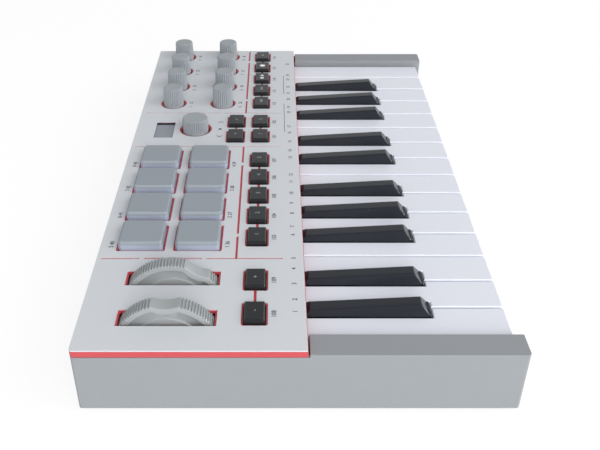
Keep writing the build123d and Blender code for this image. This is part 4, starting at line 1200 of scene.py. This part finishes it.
@dataclass
class Works:
    """The keybed and the boards, whose solids have several materials."""

    library: Library
    bed: tuple[Finish, ...] = (Finish.TRAY, Finish.FELT, Finish.BOARD, Finish.DOME, Finish.METAL)
    boards: tuple[Finish, ...] = (Finish.BOARD, Finish.PART, Finish.METAL)
    tray_height: float = 10.0 * MM
    strip_width: float = 6.0 * MM
    bar_level: float = 12.0 * MM
    board_level: float = 9.0 * MM
    sockets_y: float = 93.0 * MM
    shell_height: float = 12.0 * MM
    board_thickness: float = 2.0 * MM
    board_length: float = 30.0 * MM

    def build(self) -> None:
        """Finish both nodes, solid by solid."""
        self.sorted_copy("keybed", "keybed", self.keybed_rule, *self.bed)
        self.sorted_copy("main_board", "board", self.board_rule, *self.boards)

    def sorted_copy(self, node: str, slot: str, rule: Rule, *finishes: Finish) -> None:
        """A copy of a node in which each solid has its own finish.

        Args:
            node: The CAD node.
            slot: The record's material slot; not used.
            rule: Picks a finish's index from a solid's lowest and highest corner.
            *finishes: The finishes.
        """
        piece = solid_copy(node, f"{node}_set")
        form = opened(piece)
        for shell in islands(form):
            spots = [vert.co for face in shell for vert in face.verts]
            low = Vector(min(spot[i] for spot in spots) for i in range(3))
            high = Vector(max(spot[i] for spot in spots) for i in range(3))
            index = rule(low, high)
            for face in shell:
                face.material_index = index
        closed(piece, form)
        for finish in finishes:
            piece.data.materials.append(self.library.get(finish))
        soften(piece)
        stand_for(piece, node, "chassis")

    def keybed_rule(self, low: Vector, high: Vector) -> int:
        """Tell the tray, the felt, the contact board, the domes and the pivot bar apart.

        Args:
            low: The solid's lowest corner.
            high: Its highest corner.

        Returns:
            The index of its finish in `bed`.
        """
        if high.z - low.z > self.tray_height:
            return 0
        if high.y - low.y < self.strip_width:
            return 4 if low.z > self.bar_level else 1
        return 2 if high.z < self.board_level else 3

    def board_rule(self, low: Vector, high: Vector) -> int:
        """Tell the boards, the black parts and the metal shells apart.

        Args:
            low: The solid's lowest corner.
            high: Its highest corner.

        Returns:
            The index of its finish in `boards`.
        """
        height = high.z - low.z
        if high.y > self.sockets_y:
            return 2 if height < self.shell_height else 1
        return 0 if height < self.board_thickness and high.x - low.x > self.board_length else 1


def screw_tree() -> bpy.types.NodeTree:
    """Geometry Nodes that put one screw on each point.

    Returns:
        The tree.
    """
    tree, start = start_geometry("case_screws", {"Screw": OBJECT, "Turn": FLOAT})
    screw = tree.add("GeometryNodeObjectInfo", {"Object": start["Screw"]}).outputs["Geometry"]
    index = tree.add("GeometryNodeInputIndex").outputs[0]
    turn = tree.add("ShaderNodeCombineXYZ", {2: tree.math("MULTIPLY", index, start["Turn"])}).outputs[0]
    inputs = {"Points": start["Geometry"], "Instance": screw, "Rotation": turn}
    spread = tree.add("GeometryNodeInstanceOnPoints", inputs)
    return end_geometry(tree, spread.outputs[0], start["Material"])


@dataclass
class Screws:
    """Pan-head screws in the wells of the underside."""

    library: Library
    places: tuple[Point, ...] = (
        (-152.2, 31.4), (-102.0, 34.5), (56.1, 34.5), (152.2, 31.4),
        (-152.2, 87.2), (16.0, 87.2), (75.0, 87.2), (152.2, 87.2),
    )
    seat: float = 12.0 * MM
    head_radius: float = 2.75 * MM
    head_height: float = 1.9 * MM
    crown: float = 0.9 * MM
    crown_angles: tuple[int, ...] = (35, 50, 65, 80, 90)
    columns: int = 28
    turn: float = 0.9
    shank_radius: float = 1.2 * MM
    shank_length: float = 17.0 * MM
    slot_length: float = 3.2 * MM
    slot_width: float = 0.6 * MM
    slot_depth: float = 1.1 * MM

    def build(self) -> None:
        """Make one screw and set it in every well."""
        low = self.seat - self.head_height
        turns = [math.radians(a) for a in self.crown_angles]
        head = [(self.head_radius * math.sin(a), low + self.crown * (1 - math.cos(a))) for a in turns]
        shank = [(self.shank_radius, self.seat), (self.shank_radius, self.seat + self.shank_length)]
        screw = turned("screw", [*head, (self.head_radius, self.seat), *shank], self.columns)
        cutter = self.cross(low)
        cut = screw.modifiers.new("cross", "BOOLEAN")
        cut.operation = "DIFFERENCE"
        cut.object = cutter
        settle(screw)
        soften(screw, angle=35.0)
        points = bpy.data.meshes.new("wells")
        points.from_pydata([(x * MM, y * MM, 0.0) for x, y in self.places], [], [])
        piece = place(points, "case_screws")
        run_tree(piece, screw_tree(), Screw=screw, Turn=self.turn, Material=self.library.get(Finish.METAL))
        for spare in (screw, cutter):
            bpy.data.objects.remove(spare)
        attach(piece, "chassis")
        LOG.info("case_screws: %d screws", len(self.places))

    def cross(self, low: float) -> bpy.types.Object:
        """The shape that cuts the driver's cross.

        Args:
            low: Height of the head's lowest point.

        Returns:
            The cutter.
        """
        long, wide = self.slot_length / 2, self.slot_width / 2
        arm = (Vector((wide, wide)), Vector((wide, long)), Vector((-wide, long)))
        outline = [Matrix.Rotation(turn * math.pi / 2, 2) @ corner for turn in range(4) for corner in arm]
        form = bmesh.new()
        heights = (low - self.slot_depth, low + self.slot_depth)
        skinned(form, [[form.verts.new((*corner, height)) for corner in outline] for height in heights])
        return shaped(form, "cross")


# ------------------------------------------------------------------ printed marks
class Sign(Enum):
    """Plain signs, as corners in units of the sign's size."""

    BAR = tuple((u, v * BAR_WIDTH) for u, v in ((-0.5, -0.5), (0.5, -0.5), (0.5, 0.5), (-0.5, 0.5)))
    SQUARE = ((-0.4, -0.4), (0.4, -0.4), (0.4, 0.4), (-0.4, 0.4))
    RIGHT = ((-0.4, -0.5), (0.5, 0.0), (-0.4, 0.5))
    LEFT = ((0.4, -0.5), (0.4, 0.5), (-0.5, 0.0))
    RISING = ((-0.4, -0.6), (-0.15, -0.6), (0.4, 0.0), (-0.15, 0.6), (-0.4, 0.6), (0.1, 0.0))
    FALLING = ((0.4, -0.6), (-0.1, 0.0), (0.4, 0.6), (0.15, 0.6), (-0.4, 0.0), (0.15, -0.6))
    DOT = tuple((0.45 * math.cos(math.pi * i / 10), 0.45 * math.sin(math.pi * i / 10)) for i in range(20))


@dataclass
class Ink:
    """Printed marks of one colour on one body, gathered into one mesh."""

    name: str
    finish: Finish
    body: str
    slot: str
    lift: float = 0.012 * MM
    boldness: float = 0.018
    form: bmesh.types.BMesh = field(default_factory=bmesh.new)

    def sign(self, sign: Sign, x: float, y: float, z: float, size: float, stretch: float = 1.0) -> None:
        """Print a plain sign.

        Args:
            sign: The sign.
            x: Its middle.
            y: Its middle.
            z: The surface it is printed on.
            size: Its size.
            stretch: How much longer it is along X.
        """
        corners = [self.form.verts.new((x + u * size * stretch, y + v * size, z + self.lift)) for u, v in sign.value]
        self.form.faces.new(corners)

    def words(self, text: str, x: float, y: float, z: float, size: float) -> None:
        """Print plain figures.

        Args:
            text: The figures.
            x: Their middle.
            y: Their middle.
            z: The surface they are printed on.
            size: Their size.
        """
        curve = bpy.data.curves.new("figures", "FONT")
        curve.body = text
        curve.size = size
        curve.offset = self.boldness * size
        curve.align_x = "CENTER"
        curve.align_y = "CENTER"
        curve.resolution_u = 3
        holder = bpy.data.objects.new("figures", curve)
        bpy.context.scene.collection.objects.link(holder)
        view = bpy.context.evaluated_depsgraph_get()
        mesh = bpy.data.meshes.new_from_object(holder.evaluated_get(view))
        mesh.transform(Matrix.Translation((x, y, z + self.lift)))
        self.form.from_mesh(mesh)
        bpy.data.objects.remove(holder)
        bpy.data.meshes.remove(mesh)

    def finish_print(self, library: Library) -> None:
        """Turn the marks into one piece.

        Args:
            library: The materials.
        """
        piece = shaped(self.form, self.name)
        dress(piece, library, self.finish)
        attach(piece, self.body)


@dataclass(frozen=True)
class CapSigns:
    """The row of signs on a cap."""

    signs: tuple[Sign, ...]
    size: float
    pitch: float = 2.0 * MM
    finish: Finish = Finish.PALE_INK


CAP_SIGNS = {
    "transport_button_1": CapSigns((Sign.LEFT, Sign.LEFT), 2.2 * MM),
    "transport_button_2": CapSigns((Sign.RIGHT, Sign.RIGHT), 2.2 * MM),
    "transport_button_3": CapSigns((Sign.SQUARE, Sign.RIGHT), 2.9 * MM, 4.2 * MM, Finish.WHITE_INK),
    "transport_button_4": CapSigns((Sign.DOT,), 4.2 * MM, finish=Finish.WHITE_INK),
    "transport_button_5": CapSigns((Sign.DOT,), 2.2 * MM),
    "select_button_1": CapSigns((Sign.LEFT,), 1.6 * MM),
    "select_button_2": CapSigns((Sign.RIGHT,), 1.6 * MM),
}
OCTAVE_FIGURES = {"octave_button_1": "-", "octave_button_2": "+"}


@dataclass
class Print:
    """All printed marks: figures beside the controls and plain signs on the caps, and a painted shadow at the
    window's far end.
    """

    library: Library
    figure: float = 3.0 * MM
    key_figure: float = 2.9 * MM
    cap_figure: float = 3.0 * MM
    octave_figure: float = 3.2 * MM
    key_line: float = 1.6 * MM
    knob_gap: float = 11.2 * MM
    knob_figures: tuple[tuple[int, float], ...] = ((21, MM), (1, -5.0 * MM))
    pad_columns: int = 4
    pad_pitch: Point = (25.75 * MM, 27.1 * MM)
    pad_gap: float = 14.2 * MM
    pad_shift: float = 5.5 * MM
    pad_note: int = 36
    encoder_gap: float = 14.7 * MM
    encoder_signs: tuple[tuple[Sign, float, float], ...] = (
        (Sign.FALLING, -9.2 * MM, 2.6 * MM), (Sign.SQUARE, 0.0, 2.2 * MM), (Sign.RISING, 9.2 * MM, 2.6 * MM),
    )
    lines: tuple[Point, ...] = ((31.3 * MM, 70.0 * MM), (85.0 * MM, 114.0 * MM))
    lines_y: float = 4.6 * MM
    line_size: float = 1.6 * MM
    cap_gap: float = 8.4 * MM
    cap_number: int = 101
    # Width and inset of the painted shadow strip at the window's far end.
    border: float = 2.0 * MM
    border_inset: float = 1.0 * MM

    def build(self, keys: Sequence[str], caps: Sequence[str]) -> None:
        """Print the panel and the caps, and paint the shadow at the window's far end.

        Args:
            keys: The names of the key nodes.
            caps: The names of the cap nodes.
        """
        ink = Ink("panel_marks", Finish.INK, "chassis", "panel")
        middles = sorted(self.middle(node).x for node in keys)
        for number, x in enumerate(middles, 1):
            ink.words(str(number), x, self.key_line, PANEL_Z, self.key_figure)
        for number in range(KNOB_COUNT):
            knob = self.middle(f"knob_{number + 1}")
            for first, shift in self.knob_figures:
                ink.words(str(number + first), knob.x + shift, knob.y - self.knob_gap, PANEL_Z, self.figure)
        self.pad_numbers(ink)
        knob = self.middle("encoder_knob")
        for sign, shift, size in self.encoder_signs:
            ink.sign(sign, knob.x + shift, knob.y - self.encoder_gap, PANEL_Z, size)
        for x0, x1 in self.lines:
            stretch = (x1 - x0) / self.line_size
            ink.sign(Sign.BAR, (x0 + x1) / 2, self.lines_y, PANEL_Z, self.line_size, stretch)
        for number, node in enumerate(caps, self.cap_number):
            spot = self.middle(node)
            if "select" not in node:
                ink.words(str(number), spot.x, spot.y - self.cap_gap, PANEL_Z, self.figure)
        ink.finish_print(self.library)
        # painted shade: a dark strip where the window's recess is in shadow
        self.window_border()
        for node in caps:
            self.cap(node)

    def pad_numbers(self, ink: Ink) -> None:
        """Print two numbers beside each pad.

        Args:
            ink: The marks to add to.
        """
        centre = self.middle("pad_mat")
        pitch_x, pitch_y = self.pad_pitch
        for number in range(2 * self.pad_columns):
            line, column = divmod(number, self.pad_columns)
            x = centre.x + (column - (self.pad_columns - 1) / 2) * pitch_x - self.pad_shift
            y = centre.y + (line - 0.5) * pitch_y + (2 * line - 1) * self.pad_gap
            ink.words(f"{number + 1} {number + self.pad_note}", x, y, PANEL_Z, self.figure)

    def window_border(self) -> None:
        """Paint the shade of the recess's far wall as a dark strip at the window's far end."""
        low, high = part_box("display_window")
        # A dark strip laid on the window as painted shadow of the recess's far wall.
        ink = Ink("window_border", Finish.PART, "chassis", "display")
        wide = high.y - low.y - 2 * self.border_inset
        x = high.x - self.border_inset - self.border / 2
        ink.sign(Sign.BAR, x, (low.y + high.y) / 2, high.z, wide / BAR_WIDTH, BAR_WIDTH * self.border / wide)
        ink.finish_print(self.library)

    def cap(self, node: str) -> None:
        """Print one cap.

        Args:
            node: The cap's node, whose body has the same name.
        """
        spot, top = self.middle(node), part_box(node)[1].z
        row = CAP_SIGNS.get(node)
        ink = Ink(f"{node}_marks", row.finish if row else Finish.PALE_INK, node, "button_cap")
        if row:
            for i, sign in enumerate(row.signs):
                ink.sign(sign, spot.x + (i - (len(row.signs) - 1) / 2) * row.pitch, spot.y, top, row.size)
        elif node in OCTAVE_FIGURES:
            ink.words(OCTAVE_FIGURES[node], spot.x, spot.y, top, self.octave_figure)
        else:
            ink.words(node.rsplit("_", 1)[1], spot.x, spot.y, top, self.cap_figure)
        ink.finish_print(self.library)

    @staticmethod
    def middle(node: str) -> Vector:
        """The middle of a node's box."""
        low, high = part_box(node)
        return (low + high) / 2


# ------------------------------------------------------------------ studio
@dataclass(frozen=True)
class Lamp:
    """A soft lamp that faces the keyboard.

    Attributes:
        name: Its name.
        spot: Where it is.
        size: Its width.
        power: Its power in watts.
        direct: Whether it lights surfaces.
        mirrored: Whether shiny surfaces mirror it.
    """

    name: str
    spot: tuple[float, float, float]
    size: float
    power: float
    direct: bool = True
    mirrored: bool = True

    def build(self) -> None:
        """Hang the lamp."""
        light = bpy.data.lights.new(self.name, "AREA")
        light.shape = "DISK"
        light.size = self.size
        light.energy = self.power
        lamp = bpy.data.objects.new(self.name, light)
        lamp.location = self.spot
        lamp.rotation_euler = (-Vector(self.spot)).to_track_quat("-Z", "Y").to_euler()
        lamp.visible_diffuse = self.direct
        lamp.visible_glossy = self.mirrored
        bpy.context.scene.collection.objects.link(lamp)


@dataclass
class Studio:
    """Floor, world, lamps and camera."""

    floor_size: float = 12.0
    floor_colour: Colour = tone(243, 243, 244)
    floor_roughness: float = 0.9
    floor_glow: float = 1.06
    floor_share: float = 0.8
    sky: float = 0.9
    sky_top: float = 0.25
    high_mirror: float = 0.2
    high_band: Point = (0.2, 0.8)
    behind_mirror: float = 0.15
    behind_band: Point = (-0.2, -0.8)
    lamps: tuple[Lamp, ...] = (
        Lamp("low_side", (-1.8, -0.45, 1.1), 1.9, 34.0, mirrored=False),
        Lamp("keys_side", (-0.5, -1.6, 1.3), 1.5, 14.0),
        Lamp("glint", (-0.35, -1.5, 0.22), 0.7, 44.0, direct=False),
    )
    camera_place: tuple[float, float, float] = (-0.3973, 0.01035, 0.2582)
    camera_tilt: float = 55.874
    camera_turn: float = -90.0
    lens: float = 47.94
    sensor: float = 36.0
    shift: float = 0.0417
    nearest: float = 0.01

    def build(self) -> None:
        """Set up everything round the keyboard."""
        self.floor()
        self.world()
        for lamp in self.lamps:
            lamp.build()
        self.camera()
        bpy.context.scene.view_settings.view_transform = "Standard"

    def floor(self) -> None:
        """A pale floor, which looks white and keeps the shadow."""
        half = self.floor_size / 2
        mesh = bpy.data.meshes.new("floor")
        mesh.from_pydata([(-half, -half, 0), (half, -half, 0), (half, half, 0), (-half, half, 0)], [], [(0, 1, 2, 3)])
        floor = place(mesh, "floor")
        material, tree, shader, _ = start_material("floor")
        shader.inputs["Base Color"].default_value = self.floor_colour
        shader.inputs["Roughness"].default_value = self.floor_roughness
        rays = tree.add("ShaderNodeLightPath").outputs
        seen = tree.math("MAXIMUM", rays["Is Camera Ray"], rays["Is Glossy Ray"])
        share = tree.math("MULTIPLY", seen, self.floor_share)
        glow = tree.add("ShaderNodeEmission", {"Color": WHITE, "Strength": self.floor_glow})
        mix = tree.add("ShaderNodeMixShader", {0: share, 1: shader.outputs[0], 2: glow.outputs[0]})
        tree.feed(material.node_tree.nodes["Material Output"].inputs[0], mix.outputs[0])
        mesh.materials.append(material)

    def world(self) -> None:
        """A sky dimmer overhead, mirrored darker there and behind the camera, which itself sees white."""
        world = bpy.data.worlds.new("studio")
        world.use_nodes = True
        bpy.context.scene.world = world
        tree = Tree(world.node_tree)
        back = world.node_tree.nodes["Background"]
        back.inputs["Color"].default_value = WHITE
        rays = tree.add("ShaderNodeLightPath").outputs
        facing = tree.add("ShaderNodeTexCoord").outputs["Generated"]
        x, _, z = tree.add("ShaderNodeSeparateXYZ", {0: facing}).outputs
        overhead = tree.ramp(z, 0.0, 1.0)
        light = tree.math("ADD", self.sky, tree.math("MULTIPLY", overhead, self.sky * (self.sky_top - 1.0)))
        high = self.mixed(tree, tree.ramp(z, *self.high_band), 1.0, self.high_mirror)
        behind = self.mixed(tree, tree.ramp(x, *self.behind_band), 1.0, self.behind_mirror)
        mirror = tree.math("MULTIPLY", high, behind)
        mirrored = tree.math("MAXIMUM", rays["Is Glossy Ray"], rays["Is Transmission Ray"])
        unseen = self.mixed(tree, mirrored, light, mirror)
        tree.feed(back.inputs["Strength"], self.mixed(tree, rays["Is Camera Ray"], unseen, 1.0))

    @staticmethod
    def mixed(tree: Tree, share: object, first: object, second: object) -> object:
        """A number between two others.

        Args:
            tree: The tree to add nodes to.
            share: How much of the second.
            first: The number at 0.
            second: The number at 1.

        Returns:
            The socket with the number.
        """
        rest = tree.math("SUBTRACT", 1.0, share)
        return tree.math("ADD", tree.math("MULTIPLY", rest, first), tree.math("MULTIPLY", share, second))

    def camera(self) -> None:
        """The camera, looking along the keys from the low notes' end."""
        data = bpy.data.cameras.new("camera")
        data.lens = self.lens
        data.sensor_width = self.sensor
        data.shift_x = self.shift
        data.clip_start = self.nearest
        camera = bpy.data.objects.new("camera", data)
        camera.location = self.camera_place
        camera.rotation_euler = (math.radians(self.camera_tilt), 0.0, math.radians(self.camera_turn))
        bpy.context.scene.collection.objects.link(camera)
        bpy.context.scene.camera = camera


def main() -> None:
    """Build the scene in order."""
    logging.basicConfig(level=logging.INFO, format="%(message)s")
    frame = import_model()
    nodes = sorted(frame["nodes"])
    keys = [node for node in nodes if node.startswith("key_")]
    caps = [node for node in nodes if "_button_" in node]
    library = Library()
    Enclosure(library).build()
    Works(library).build()
    Keys(library).build(keys)
    Caps(library).build(caps)
    Knobs(library).build()
    Wheels(library).build()
    Screws(library).build()
    Print(library).build(keys, caps)
    Studio().build()
    LOG.info("%d nodes dressed", len(nodes))


if __name__ == "__main__":
    main()
